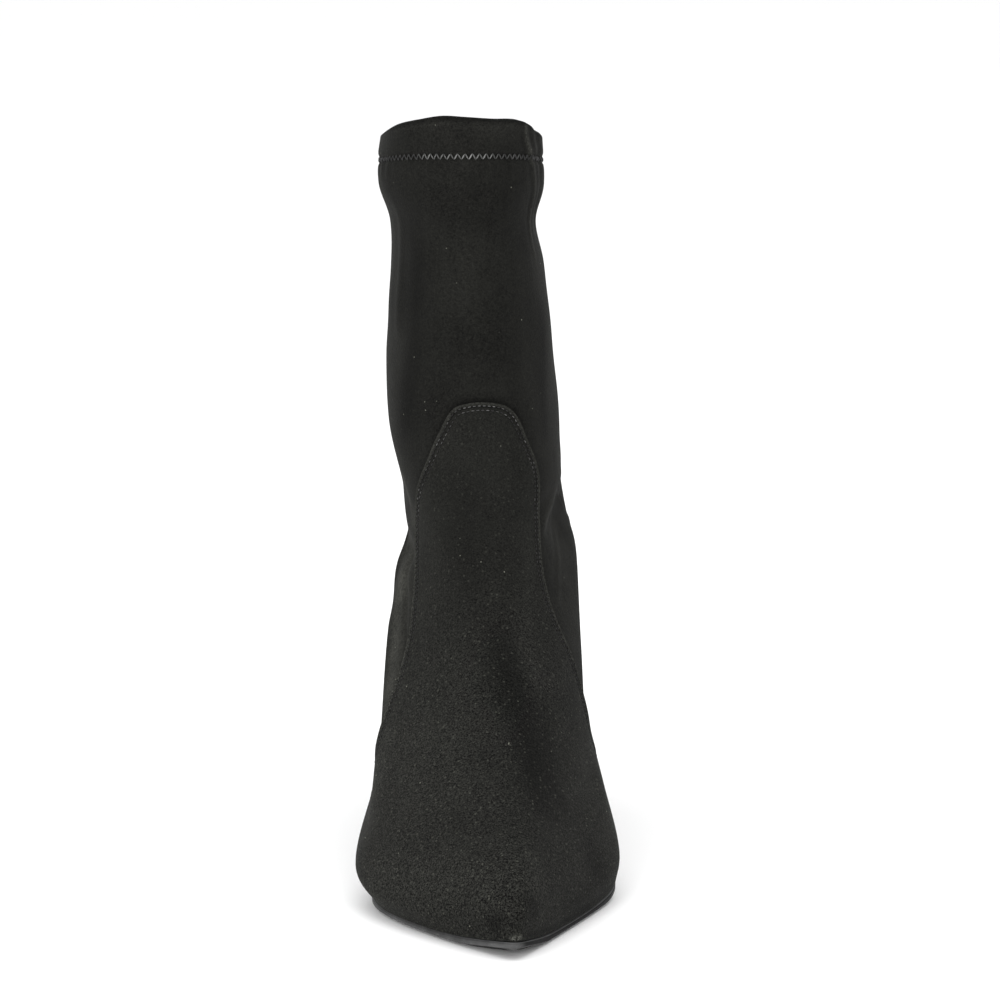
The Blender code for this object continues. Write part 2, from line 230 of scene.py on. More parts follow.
def make_piece(
    name: str, points: Array, faces: list[list[int]], material: bpy.types.Material,
    stands_for: str | None = None, tone: Array | None = None,
) -> bpy.types.Object:
    """Put a surface into a smooth mesh object that rides on the boot.

    Args:
        name: the piece's name.
        points: places of its vertices, in any shape with x, y and z last.
        faces: corner numbers of each face.
        material: its finish.
        stands_for: the CAD node that the piece replaces, if it does.
        tone: how light its finish is at each vertex, 1 where it is plain; it holds the piece's painted light
            and shade.

    Returns:
        The new object.
    """
    mesh = bpy.data.meshes.new(name)
    mesh.from_pydata(points.reshape(-1, 3).tolist(), [], faces)
    mesh.update()
    shade = np.ones(len(mesh.vertices)) if tone is None else tone.reshape(-1)
    mesh.attributes.new(TONE, "FLOAT", "POINT").data.foreach_set("value", shade.astype(np.float32))
    mesh.shade_smooth()
    mesh.materials.append(material)
    piece = add_object(name, mesh)
    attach(piece, BODY)
    if stands_for:
        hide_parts(stands_for)
    LOG.info("%s: %d points, %d faces", name, len(mesh.vertices), len(mesh.polygons))
    return piece


def weld(piece: bpy.types.Object, reach: float) -> None:
    """Merge the points of a piece that lie close together, and drop the faces that vanish.

    Args:
        piece: the object to mend.
        reach: how close the points have to lie, in metres.
    """
    work = bmesh.new()
    work.from_mesh(piece.data)
    bmesh.ops.remove_doubles(work, verts=work.verts, dist=reach)
    bmesh.ops.dissolve_degenerate(work, edges=work.edges, dist=reach / 10)
    work.to_mesh(piece.data)
    work.free()


# Shader expressions


class Value:
    """A shader socket that takes part in Python expressions, each of which adds a Math node."""

    def __init__(self, graph: "Graph", socket: bpy.types.NodeSocket) -> None:
        """Hold one output socket of a graph."""
        self.graph = graph
        self.socket = socket

    def _math(self, operation: str, first: "Operand", second: "Operand") -> "Value":
        """A Math node on two operands."""
        return self.graph.node("ShaderNodeMath", {"operation": operation}, {0: first, 1: second})

    def __add__(self, other: "Operand") -> "Value":
        """This plus other."""
        return self._math("ADD", self, other)

    def __radd__(self, other: "Operand") -> "Value":
        """Other plus this."""
        return self._math("ADD", other, self)

    def __sub__(self, other: "Operand") -> "Value":
        """This minus other."""
        return self._math("SUBTRACT", self, other)

    def __rsub__(self, other: "Operand") -> "Value":
        """Other minus this."""
        return self._math("SUBTRACT", other, self)

    def __mul__(self, other: "Operand") -> "Value":
        """This times other."""
        return self._math("MULTIPLY", self, other)

    def __rmul__(self, other: "Operand") -> "Value":
        """Other times this."""
        return self._math("MULTIPLY", other, self)

    def centred(self) -> "Value":
        """This noise, moved so that its middle is 0."""
        return self - 0.5

    def clear(self) -> "Value":
        """This value, kept from falling below nothing."""
        return self._math("MAXIMUM", self, 0.0)

    def between(self, low: float, high: float) -> "Value":
        """Smooth step of this value, 0 at low and 1 at high."""
        return self.graph.node(
            "ShaderNodeMapRange", {"interpolation_type": "SMOOTHSTEP"},
            {"Value": self, "From Min": low, "From Max": high, "To Min": 0.0, "To Max": 1.0})


Operand = Value | float


class Graph:
    """One material's node tree."""

    def __init__(self, name: str) -> None:
        """Start a material with its Principled shader.

        Args:
            name: the material's name.
        """
        self.material = bpy.data.materials.new(name)
        self.material.use_nodes = True
        self.tree = self.material.node_tree
        self.shader = self.tree.nodes["Principled BSDF"]

    def _feed(self, node: bpy.types.Node, inputs: dict[int | str, object]) -> None:
        """Link or set each of a node's inputs.

        Args:
            node: the node to feed.
            inputs: values or plain settings for its sockets, by name or number.
        """
        for key, given in inputs.items():
            if isinstance(given, Value):
                self.tree.links.new(given.socket, node.inputs[key])
            else:
                node.inputs[key].default_value = given

    def node(
        self, kind: str, settings: dict[str, object] | None = None,
        inputs: dict[int | str, object] | None = None, output: int | str = 0,
    ) -> Value:
        """Add a node.

        Args:
            kind: Blender's name for the node type.
            settings: its own properties, set before its inputs.
            inputs: values or links for its sockets, by name or number.
            output: the socket to read.

        Returns:
            That output.
        """
        made = self.tree.nodes.new(kind)
        for key, setting in (settings or {}).items():
            setattr(made, key, setting)
        self._feed(made, inputs or {})
        return Value(self, made.outputs[output])

    def place(self, stretch: Triple = (1.0, 1.0, 1.0)) -> Value:
        """Object coordinates, stretched along each axis."""
        here = self.node("ShaderNodeTexCoord", output="Object")
        return self.node("ShaderNodeVectorMath", {"operation": "MULTIPLY"}, {0: here, 1: stretch})

    def tone(self) -> Value:
        """The tone that the piece carries at its vertices, which holds its painted light and shade."""
        return self.node(
            "ShaderNodeAttribute", {"attribute_name": TONE, "attribute_type": "GEOMETRY"}, None, "Fac")

    def height(self) -> Value:
        """Height above the floor, in metres."""
        return self.node("ShaderNodeSeparateXYZ", None, {0: self.place()}, "Z")

    def noise(self, place: Value, size: float, detail: float = 2.0, rough: float = 0.5) -> Value:
        """Cloudy noise with lumps of about one size, from 0 to 1."""
        return self.node(
            "ShaderNodeTexNoise", None,
            {"Vector": place, "Scale": 1 / size, "Detail": detail, "Roughness": rough}, "Fac")

    def cells(self, place: Value, size: float, output: str) -> Value:
        """Random cells of about one size: their Distance from the middle, or a Color each."""
        return self.node("ShaderNodeTexVoronoi", None, {"Vector": place, "Scale": 1 / size}, output)

    def specks(self, size: float, spot: Span, few: float) -> Value:
        """Small round specks in some of the cells of a random grid, each with a strength of its own.

        Args:
            size: spacing of the cells.
            spot: outer and inner radius of a speck, as shares of the spacing.
            few: share of the cells that stay empty.

        Returns:
            A mask, 1 in the middle of the brightest specks.
        """
        place = self.place()
        near = self.cells(place, size, "Distance").between(*spot)
        drawn = self.node(
            "ShaderNodeSeparateColor", None, {"Color": self.cells(place, size, "Color")}, "Red")
        return near * drawn.between(few, 1.0)

    def tint(self, colour: Colour, tone: Value) -> Value:
        """A colour made lighter or darker by a tone around 1."""
        return self.node("ShaderNodeVectorMath", {"operation": "SCALE"}, {0: colour, "Scale": tone})

    def blend(self, mask: Operand, below: Value, above: Colour) -> Value:
        """One colour laid over another where the mask is 1."""
        return self.node(
            "ShaderNodeMix", {"data_type": "RGBA"}, {0: mask, 6: below, 7: (*above, 1.0)}, 2)

    def bump(self, height: Value, depth: float, strength: float) -> Value:
        """A surface normal tipped by a height of some depth in metres."""
        return self.node(
            "ShaderNodeBump", None, {"Height": height, "Distance": depth, "Strength": strength})

    def finish(self, inputs: dict[str, object]) -> bpy.types.Material:
        """Feed the Principled shader and hand over the material."""
        self._feed(self.shader, inputs)
        return self.material


# Finishes


@dataclass(frozen=True)
class Suede:
    """Black stretch suede: a short nap in two sizes, brushed streaks, faded patches and a little lint.

    The tone is the piece's own, which holds its painted light and shade, times 1 plus each noise about its
    middle, weighted; painted glints on the fibre ends and pale lint are laid over it.  High on the foot the
    nap lies flat and keeps only a share of its contrast.
    """

    name: str
    colour: Colour
    nap_size: float
    nap: float
    patch: float
    streak: float
    glint: float
    lint: float
    sheen: float
    flat: float = 1.0
    flat_from: float = 125 * MM
    rough_to: float = 40 * MM
    fibre_share: float = 0.7
    patch_size: float = 20 * MM
    streak_size: float = 4.5 * MM
    streak_stretch: Triple = (1.0, 1.0, 0.10)
    glint_size: float = 1.5 * MM
    glint_spot: Span = (0.34, 0.10)
    glint_few: float = 0.25
    lint_size: float = 3.5 * MM
    lint_spot: Span = (0.090, 0.030)
    lint_few: float = 0.70
    pale: Colour = (0.30, 0.305, 0.25)
    rough: float = 0.86
    rough_swing: float = 0.2
    gloss: float = 0.07
    sheen_rough: float = 0.30
    sheen_tint: tuple[float, ...] = (1.0, 1.0, 0.94, 1.0)
    fibre_relief: float = 0.5
    relief: float = 0.35 * MM
    relief_strength: float = 0.5

    def material(self) -> bpy.types.Material:
        """Build the suede.

        Returns:
            The new material.
        """
        graph = Graph(self.name)
        place = graph.place()
        nap = graph.noise(place, self.nap_size, rough=0.6)
        fibre = graph.noise(place, self.nap_size / 2, detail=1.0)
        patch = graph.noise(place, self.patch_size, detail=3.0, rough=0.55)
        streak = graph.noise(graph.place(self.streak_stretch), self.streak_size)
        stand = self.flat + (1 - self.flat) * graph.height().between(self.flat_from, self.rough_to)
        tone = (
            1.0 + self.nap * stand * (nap.centred() + self.fibre_share * fibre.centred())
            + self.patch * patch.centred() + self.streak * streak.centred())
        colour = graph.tint(self.colour, graph.tone() * tone.clear())
        # painted glints: pale specks laid over the nap where it stands up
        glint = graph.specks(self.glint_size, self.glint_spot, self.glint_few)
        colour = graph.blend(self.glint * stand * glint, colour, self.pale)
        lint = graph.specks(self.lint_size, self.lint_spot, self.lint_few)
        colour = graph.blend(self.lint * lint, colour, self.pale)
        height = nap + self.fibre_relief * fibre
        return graph.finish({
            "Base Color": colour,
            "Roughness": self.rough + self.rough_swing * nap.centred(),
            "Specular IOR Level": self.gloss,
            "Sheen Weight": self.sheen,
            "Sheen Roughness": self.sheen_rough,
            "Sheen Tint": self.sheen_tint,
            "Normal": graph.bump(height, self.relief, self.relief_strength),
        })


@dataclass(frozen=True)
class Thread:
    """Twisted thread: a pale ply with darker turns between, worn in places, with a slight gloss."""

    name: str
    colour: Colour
    ply: float = 1.4
    ply_size: float = 0.5 * MM
    wear: float = 1.0
    wear_size: float = 9 * MM
    rough: float = 0.5
    rough_swing: float = 0.3
    gloss: float = 0.3
    relief: float = 0.10 * MM
    relief_strength: float = 0.5

    def material(self) -> bpy.types.Material:
        """Build the thread.

        Returns:
            The new material.
        """
        graph = Graph(self.name)
        ply = graph.noise(graph.place(), self.ply_size, detail=1.0)
        worn = graph.noise(graph.place(), self.wear_size)
        tone = 1.0 + self.ply * ply.centred() + self.wear * worn.centred()
        return graph.finish({
            "Base Color": graph.tint(self.colour, graph.tone() * tone.clear()),
            "Roughness": self.rough + self.rough_swing * ply.centred(),
            "Specular IOR Level": self.gloss,
            "Normal": graph.bump(ply, self.relief, self.relief_strength),
        })


@dataclass(frozen=True)
class SolePaint:
    """Black edge paint over the sole: smooth, faintly wavy, and dulled where it is scuffed."""

    name: str
    colour: Colour
    wave: float = 1.2
    wave_size: float = 6 * MM
    scuff: float = 0.8
    scuff_size: float = 1.6 * MM
    scuff_stretch: Triple = (1.0, 1.0, 3.0)
    scuffed: Span = (0.56, 0.72)
    rough: float = 0.26
    rough_wave: float = 0.15
    rough_scuff: float = 0.30
    gloss: float = 0.02
    coat: float = 0.02
    coat_rough: float = 0.12
    scuff_relief: float = 0.25
    relief: float = 0.12 * MM
    relief_strength: float = 0.35

    def material(self) -> bpy.types.Material:
        """Build the edge paint.

        Returns:
            The new material.
        """
        graph = Graph(self.name)
        wave = graph.noise(graph.place(), self.wave_size)
        scuff = graph.noise(graph.place(self.scuff_stretch), self.scuff_size, detail=4.0, rough=0.7)
        worn = scuff.between(*self.scuffed)
        tone = 1.0 + self.wave * wave.centred() + self.scuff * worn
        height = wave + self.scuff_relief * scuff
        return graph.finish({
            "Base Color": graph.tint(self.colour, graph.tone() * tone),
            "Roughness": self.rough + self.rough_wave * wave + self.rough_scuff * worn,
            "Specular IOR Level": self.gloss,
            "Coat Weight": self.coat * (1.0 - worn),
            "Coat Roughness": self.coat_rough,
            "Normal": graph.bump(height, self.relief, self.relief_strength),
        })


@dataclass(frozen=True)
class Rubber:
    """Dense black rubber: a fine moulded grain, greyed where it wears."""

    name: str
    colour: Colour
    grain: float = 0.6
    grain_size: float = 0.8 * MM
    dust: float = 1.4
    dust_size: float = 7 * MM
    dust_level: float = 0.45
    rough: float = 0.50
    rough_swing: float = 0.3
    gloss: float = 0.4
    relief: float = 0.2 * MM
    relief_strength: float = 0.4

    def material(self) -> bpy.types.Material:
        """Build the rubber.

        Returns:
            The new material.
        """
        graph = Graph(self.name)
        grain = graph.noise(graph.place(), self.grain_size, detail=3.0, rough=0.6)
        dust = graph.noise(graph.place(), self.dust_size, detail=3.0, rough=0.6)
        tone = 1.0 + self.grain * grain.centred() + self.dust * (dust - self.dust_level)
        return graph.finish({
            "Base Color": graph.tint(self.colour, tone),
            "Roughness": self.rough + self.rough_swing * dust.centred(),
            "Specular IOR Level": self.gloss,
            "Normal": graph.bump(grain, self.relief, self.relief_strength),
        })


@dataclass(frozen=True)
class Knit:
    """The smooth knitted back of the stretch cloth: fine level courses crossed by upright wales."""

    name: str
    colour: Colour
    course: float
    wale: float
    shade: float = 0.75
    rib: float = 0.5
    rib_sway: float = 0.6
    patch: float = 0.4
    patch_size: float = 12 * MM
    rough: float = 0.70
    rough_swing: float = 0.2
    gloss: float = 0.2
    sheen: float = 0.15
    relief: float = 0.25 * MM
    relief_strength: float = 0.5

    def _bands(self, graph: Graph, way: str, pitch: float) -> Value:
        """Even ribs across one axis, at a pitch in metres."""
        return graph.node(
            "ShaderNodeTexWave", {"wave_type": "BANDS", "bands_direction": way},
            {"Vector": graph.place(), "Scale": WAVE_REPEAT / pitch, "Distortion": self.rib_sway,
             "Detail": 1.0}, "Fac")

    def material(self) -> bpy.types.Material:
        """Build the knit.

        Returns:
            The new material.
        """
        graph = Graph(self.name)
        ribs = self._bands(graph, "Z", self.course) * self._bands(graph, "DIAGONAL", self.wale)
        patch = graph.noise(graph.place(), self.patch_size)
        tone = self.shade + self.rib * ribs + self.patch * patch.centred()
        return graph.finish({
            "Base Color": graph.tint(self.colour, tone),
            "Roughness": self.rough + self.rough_swing * patch,
            "Specular IOR Level": self.gloss,
            "Sheen Weight": self.sheen,
            "Normal": graph.bump(ribs, self.relief, self.relief_strength),
        })


@dataclass(frozen=True)
class SockLeather:
    """Thin sock leather on the insole: pebbled grain with a soft shine on the tops."""

    name: str
    colour: Colour
    shade: float = 1.15
    pebble: float = 0.4
    pebble_size: float = 1.1 * MM
    patch: float = 0.5
    patch_size: float = 15 * MM
    rough: float = 0.48
    rough_swing: float = 0.3
    gloss: float = 0.35
    relief: float = 0.2 * MM
    relief_strength: float = 0.4

    def material(self) -> bpy.types.Material:
        """Build the sock leather.

        Returns:
            The new material.
        """
        graph = Graph(self.name)
        pebble = graph.cells(graph.place(), self.pebble_size, "Distance")
        patch = graph.noise(graph.place(), self.patch_size, detail=3.0)
        tone = self.shade - self.pebble * pebble + self.patch * patch.centred()
        return graph.finish({
            "Base Color": graph.tint(self.colour, tone),
            "Roughness": self.rough + self.rough_swing * pebble,
            "Specular IOR Level": self.gloss,
            "Normal": graph.bump(1.0 - pebble, self.relief, self.relief_strength),
        })


@dataclass(frozen=True)
class FloorPaper:
    """A pale studio floor with a barely clouded surface."""

    name: str
    colour: Colour
    cloud: float = 0.02
    cloud_size: float = 0.6
    rough: float = 0.7
    gloss: float = 0.15

    def material(self) -> bpy.types.Material:
        """Build the floor's finish.

        Returns:
            The new material.
        """
        graph = Graph(self.name)
        cloud = graph.noise(graph.place(), self.cloud_size)
        return graph.finish({
            "Base Color": graph.tint(self.colour, 1.0 + self.cloud * cloud.centred()),
            "Roughness": self.rough,
            "Specular IOR Level": self.gloss,
        })


# The last


@dataclass(frozen=True)
class Ring:
    """Sizes of one closed ring of the upper.

    front, front_up, back and back_up are its two ends, along the foot from the heel and above the floor.
    follow is the share of the sole's own curve that it keeps, and drop its dip at the two sides.
    lateral and medial are the half widths at the widest place, which lat_at and med_at put between the heel
    (0) and the toe (1); lat_in and med_in say how much narrower the heel is.
    point is 0 for a round toe and 1 for a sharp one, lat_bow and med_bow are small for straight toe sides,
    cap and full are the length and fullness of the rounded heel end, and mid_front and mid_back place the
    centre line sideways.
    """

    front: float
    front_up: float
    back: float
    back_up: float
    follow: float
    drop: float
    lateral: float
    medial: float
    lat_at: float
    med_at: float
    lat_in: float
    med_in: float
    point: float
    lat_bow: float
    med_bow: float
    cap: float
    full: float
    mid_front: float
    mid_back: float


RINGS = (
    Ring(.2370, .0055, .0020, .0820, 1, 0,
         .0420, .0338, .71, .68, .46, .30, .91, .48, .11, .20, 2.2, .002, .0025),
    Ring(.2365, .0110, -.0005, .0950, .97, 0,
         .0470, .0350, .71, .68, .46, .30, .87, .54, .14, .22, 2.2, .002, .0025),
    Ring(.2300, .0200, -.0015, .1040, .86, 0,
         .0428, .0318, .70, .67, .44, .27, .68, .65, .22, .24, 2.2, .002, .0025),
    Ring(.2120, .0305, -.0010, .1130, .68, 0,
         .0400, .0272, .65, .63, .38, .19, .52, .80, .40, .26, 2.2, .002, .0025),
    Ring(.1820, .0450, .0005, .1220, .45, 0,
         .0365, .0274, .57, .57, .31, .10, .36, 1.2, .70, .30, 2.2, .001, .0020),
    Ring(.1520, .0660, .0030, .1320, .25, 0,
         .0315, .0275, .49, .50, .20, .03, .30, 2.0, 2.0, .36, 2.2, 0, .0015),
    Ring(.1260, .0940, .0060, .1430, .10, 0,
         .0284, .0248, .46, .46, .05, 0, .15, 2.0, 2.0, .43, 2.1, -.001, .0005),
    Ring(.1090, .1240, .0085, .1540, .02, 0,
         .0302, .0270, .48, .48, 0, 0, .05, 2.0, 2.0, .48, 2.0, -.004, -.003),
    Ring(.1010, .1500, .0100, .1650, 0, 0,
         .0282, .0279, .50, .50, 0, 0, 0, 2.0, 2.0, .50, 2.0, -.006, -.006),
    Ring(.0970, .1710, .0100, .1770, 0, 0,
         .0263, .0275, .50, .50, 0, 0, 0, 2.0, 2.0, .50, 2.0, -.0072, -.0072),
    Ring(.0960, .1900, .0090, .1890, 0, 0,
         .0243, .0268, .50, .50, 0, 0, 0, 2.1, 2.1, .50, 2.0, -.0082, -.0082),
    Ring(.0955, .2060, .0090, .2020, 0, 0,
         .0236, .0250, .50, .50, 0, 0, 0, 2.2, 2.2, .50, 2.1, -.0090, -.0090),
    Ring(.0970, .2210, .0075, .2150, 0, .001,
         .0270, .0280, .54, .54, 0, 0, 0, 2.4, 2.4, .50, 2.2, -.0098, -.0098),
    Ring(.0965, .2420, .0080, .2320, 0, .0035,
         .0250, .0272, .60, .60, 0, 0, 0, 2.6, 2.6, .50, 2.3, -.0100, -.0100),
)
# The line of the sole edge from heel to toe: along the foot, and up
EDGE_LINE = (
    (.000, .0820), (.030, .0795), (.055, .0740), (.080, .0620), (.105, .0440), (.130, .0245),
    (.150, .0108), (.165, .0052), (.180, .0033), (.200, .0029), (.220, .0036), (.238, .0062),
)
# The vamp's sewn edge, from the lateral sole edge over the instep to the medial one:
# degrees from the front, and ring
VAMP_EDGE = (
    (-80.5, .9), (-78.8, 1.6), (-76.0, 2.4), (-71.5, 3.35), (-67.0, 4.05), (-63.5, 4.75), (-63.0, 5.45),
    (-62.0, 6.0), (-51.0, 6.6), (-36.0, 7.1), (-26.0, 7.5), (-15.5, 7.87), (-4.5, 7.98), (8.0, 7.99),
    (20.0, 7.91), (28.0, 7.73), (35.0, 7.39), (43.8, 6.92), (43.5, 6.48), (43.0, 6.1), (44.9, 5.69),
    (51.0, 5.23), (60.5, 4.66), (68.0, 4.07), (76.0, 3.2), (80.5, 2.2), (83.5, 1.5), (86.0, .9),
)


def from_front(degrees: Array) -> Array:
    """The turn at some degrees round from the front, lateral negative."""
    return np.radians(180 + np.asarray(degrees, dtype=float))


@dataclass
class Last:
    """The shape of the whole boot: its rings, and the line of the sole edge under them."""

    rings: tuple[Ring, ...] = RINGS
    edge: Line = EDGE_LINE
    centre_x: float = -0.00413
    centre_along: float = 0.11834
    lateral_waist: float = 0.33
    medial_waist: float = 0.43

    def __post_init__(self) -> None:
        """Lay the tables out as arrays."""
        self.table = np.array([astuple(ring) for ring in self.rings])
        self.knots = np.arange(len(self.rings), dtype=float)
        self.edge_rows = np.array(self.edge)
        self.top = float(len(self.rings) - 1)

    def edge_up(self, along: Array) -> Array:
        """Height of the sole edge at a distance along the foot."""
        return cubic(along, self.edge_rows[:, 0], self.edge_rows[:, 1])

    def half_share(
        self, share: Array, widest: Array, narrower: Array, waist: float, point: Array, bow: Array,
        cap: Array, full: Array,
    ) -> Array:
        """Half width of a ring as a share of its widest.

        Ahead of the widest place a hyperbola, straight or bowed, runs to a point, blended with its root for
        a round toe; behind it the width eases in to the waist and ends in a superellipse.

        Args:
            share: place along the ring, 0 at the heel and 1 at the toe.
            widest: where the ring is widest.
            narrower: how much narrower the heel is.
            waist: where the narrowing has ended.
            point: sharpness of the toe.
            bow: roundness of the toe's sides.
            cap: length of the rounded heel end.
            full: its fullness.

        Returns:
            The half width, from 0 to 1.
        """
        ahead = np.clip((share - widest) / (1 - widest), 0, 1)
        taper = 1 - (np.sqrt(ahead ** 2 + bow ** 2) - bow) / (np.sqrt(1 + bow ** 2) - bow)
        taper = np.clip(taper, 0, 1)
        nose = np.sqrt(point * taper ** 2 + (1 - point) * taper)
        behind = np.clip((widest - share) / np.maximum(widest - waist, SLOPE_STEP), 0, 1)
        heel = 1 - narrower * behind ** 2 * (3 - 2 * behind)
        tail = np.sqrt(1 - np.clip((cap - share) / cap, 0, 1) ** full)
        return np.where(share > widest, nose, heel * tail)

    def skin(self, ring: Array, turn: Array) -> Array:
        """Outer surface of the upper.

        The share along a ring is half of 1 - cos(turn); the height is the straight line between the ring's
        ends, plus its share of the sole's curve, less its dip at the sides.

        Args:
            ring: ring numbers, whole or between.
            turn: angles round the foot, in the same shape.

        Returns:
            The places, with x, y and z last.
        """
        size = Ring(*np.moveaxis(cubic(ring, self.knots, self.table), -1, 0))
        share = (1 - np.cos(turn)) / 2
        along = size.back + (size.front - size.back) * share
        base = self.rings[0]
        base_along = base.back + (base.front - base.back) * share
        sag = self.edge_up(base_along) - (base.back_up + (base.front_up - base.back_up) * share)
        up = size.back_up + (size.front_up - size.back_up) * share
        up = up + size.follow * sag - size.drop * np.sin(turn) ** 4
        lateral, medial = (
            half * self.half_share(share, widest, narrower, waist, size.point, bow, size.cap, size.full)
            for half, widest, narrower, waist, bow in (
                (size.lateral, size.lat_at, size.lat_in, self.lateral_waist, size.lat_bow),
                (size.medial, size.med_at, size.med_in, self.medial_waist, size.med_bow)))
        middle = size.mid_back + (size.mid_front - size.mid_back) * share
        across = middle + np.where(np.sin(turn) >= 0, -lateral, medial)
        return np.stack((across - self.centre_x, self.centre_along - along, up), axis=-1)

    def slopes(self, ring: Array, turn: Array) -> tuple[Array, Array]:
        """How the surface moves for one more ring, and for one more radian of turn, from short steps.

        Args:
            ring: ring numbers.
            turn: angles, in the same shape.

        Returns:
            The two slopes, with x, y and z last.
        """
        low = np.maximum(ring - SLOPE_STEP, 0)
        high = np.minimum(ring + SLOPE_STEP, self.top)
        climb = (self.skin(high, turn) - self.skin(low, turn)) / (high - low)[..., None]
        around = self.skin(ring, turn + SLOPE_STEP) - self.skin(ring, turn - SLOPE_STEP)
        return climb, around / (2 * SLOPE_STEP)

    def outward(self, ring: Array, turn: Array) -> Array:
        """Unit direction out of the upper's surface."""
        climb, around = self.slopes(ring, turn)
        return unit(np.cross(around, climb))

    def stepped(self, ring: Array, turn: Array, move: Array) -> tuple[Array, Array]:
        """The ring and turn reached by a short move along the surface.

        The move is split on the two slopes by solving their two-by-two normal equations.

        Args:
            ring: where the move starts.
            turn: where the move starts.
            move: the short move, with x, y and z last.

        Returns:
            The ring and the turn where it ends.
        """
        climb, around = self.slopes(ring, turn)
        aa, ab, bb = (np.sum(p * q, axis=-1) for p, q in ((climb, climb), (climb, around), (around, around)))
        am, bm = (np.sum(p * move, axis=-1) for p in (climb, around))
        spread = aa * bb - ab * ab
        return ring + (am * bb - bm * ab) / spread, turn + (bm * aa - am * ab) / spread


# Folds of the cloth


def traced(last: Last, line: Line, samples: int = 20) -> Array:
    """A smooth line in space through places given as rings and degrees from the front (lateral negative)."""
    drawn = through(line, samples)
    return last.skin(drawn[:, 0], from_front(drawn[:, 1]))


def beside_line(last: Last, line: Line, points: Array, ends: float) -> tuple[Array, Array]:
    """Distance of points from a line drawn on the upper, and a fade towards the line's two ends.

    Args:
        last: the shape that the line is drawn on.
        line: its places, as rings and degrees from the front.
        points: places in space.
        ends: share of the line that each end fades over.

    Returns:
        The distances, and the fades, 1 along the middle of the line.
    """
    distance, place = path_distance(points, traced(last, line))
    return distance, window(place, (0, ends), (1, 1 - ends))


@dataclass(frozen=True)
class Crease:
    """A soft fold along a line on the upper, drawn as rings and degrees from the front (lateral negative).

    The cloth sinks by depth on the line over the given width and swells beside it by a share of the depth.
    """

    line: Line
    depth: float
    width: float
    ridge: float = 0.3
    ridge_at: float = 1.9
    ends: float = 0.3

    def lift(self, last: Last, points: Array) -> Array:
        """How far the fold raises the cloth: a bell trough, a ridge each side, faded at the ends.

        Args:
            last: the shape that the fold is drawn on.
            points: places in space.

        Returns:
            The lift at each place, in metres.
        """
        distance, fade = beside_line(last, self.line, points, self.ends)
        ridge = self.ridge * bell(distance - self.ridge_at * self.width, self.width)
        return -self.depth * fade * (bell(distance, self.width) - ridge)


# Lines that a fold shares with a painted streak: painted shade on the pull line, painted highlights on the
# others
PULL_LINE = ((5.7, -80), (5.35, -77), (5.1, -72), (4.85, -70), (4.5, -66), (4.1, -65))
PULLED_FOLD = ((6.05, 80), (6.29, 66), (6.33, 58), (6.31, 51), (6.26, 44))
UPRIGHT_LINE = ((5.9, 82), (5.88, 70), (5.68, 64), (5.44, 59), (5.2, 54))
COLLAR_CORNER = (
    (13.6, 43), (12.9, 45), (12.65, 47), (12.45, 52), (12.15, 56), (11.6, 61), (10.6, 62), (9.8, 64),
)
CREASES = (
    # the nip at the lateral ankle, and the pull lines below it
    Crease(((5.9, -60), (5.5, -76), (5.2, -92), (5.1, -106), (5.2, -126)), 2.6 * MM, 5.0 * MM, 0.15),
    Crease(PULL_LINE, 0.50 * MM, 1.2 * MM, 0.5),
    Crease(((5.3, -88), (4.6, -88), (3.8, -88)), 0.60 * MM, 2.3 * MM, 0.5),
    # the medial ankle hollow, the pulled fold and upright line on it, and the folds behind them
    Crease(((6.12, 50), (6.05, 64), (5.9, 80), (5.5, 98), (5.15, 114), (5.0, 130)), 2.2 * MM, 7.0 * MM, 0.1),
    Crease(PULLED_FOLD, -0.75 * MM, 2.0 * MM, 0.6),
    Crease(UPRIGHT_LINE, -0.15 * MM, 1.3 * MM, 0.5),
    Crease(((6.1, 90), (5.5, 99), (4.9, 108)), 0.8 * MM, 3.0 * MM, 0.5),
    Crease(((6.2, 66), (6.08, 76), (5.98, 86), (5.85, 98)), 0.8 * MM, 3.2 * MM, 0.35),
    Crease(((5.5, 92), (5.2, 102), (5.0, 112), (4.9, 122), (4.9, 136)), 1.3 * MM, 6.0 * MM, 0.0),
    # the ridge down the medial corner of the collar, and the slack behind it
    Crease(COLLAR_CORNER, -0.45 * MM, 1.3 * MM, 0.4),
    Crease(((13.6, 55), (12.9, 57), (12.45, 64), (12.0, 69), (11.2, 73), (10.4, 76)),
           0.50 * MM, 2.0 * MM, 0.3),
    # the soft corner down the lateral side of the shaft
    Crease(((12.0, -58), (10.6, -62), (9.4, -63), (8.4, -61)), -0.35 * MM, 3.0 * MM, 0.2),
    # the slack above the counter
    Crease(((7.0, 148), (6.9, 180), (7.0, 212)), 0.8 * MM, 5.0 * MM, 0.4),
)


def vamp_line() -> Line:
    """The vamp's sewn edge as rings and degrees, in the order that folds are drawn."""
    return tuple((ring, degrees) for degrees, ring in VAMP_EDGE)


@dataclass(frozen=True)
class Stroke:
    """A streak of painted light or painted shade, over paler nap in a few places, drawn as a fold is, fading
    at its ends and sides.
    """

    line: Line
    width: float
    tone: float
    ends: float = 0.25

    def shade(self, last: Last, points: Array) -> Array:
        """What the streak adds to the tone at each point: a bell across it, faded at the ends."""
        distance, fade = beside_line(last, self.line, points, self.ends)
        return self.tone * fade * bell(distance, self.width)


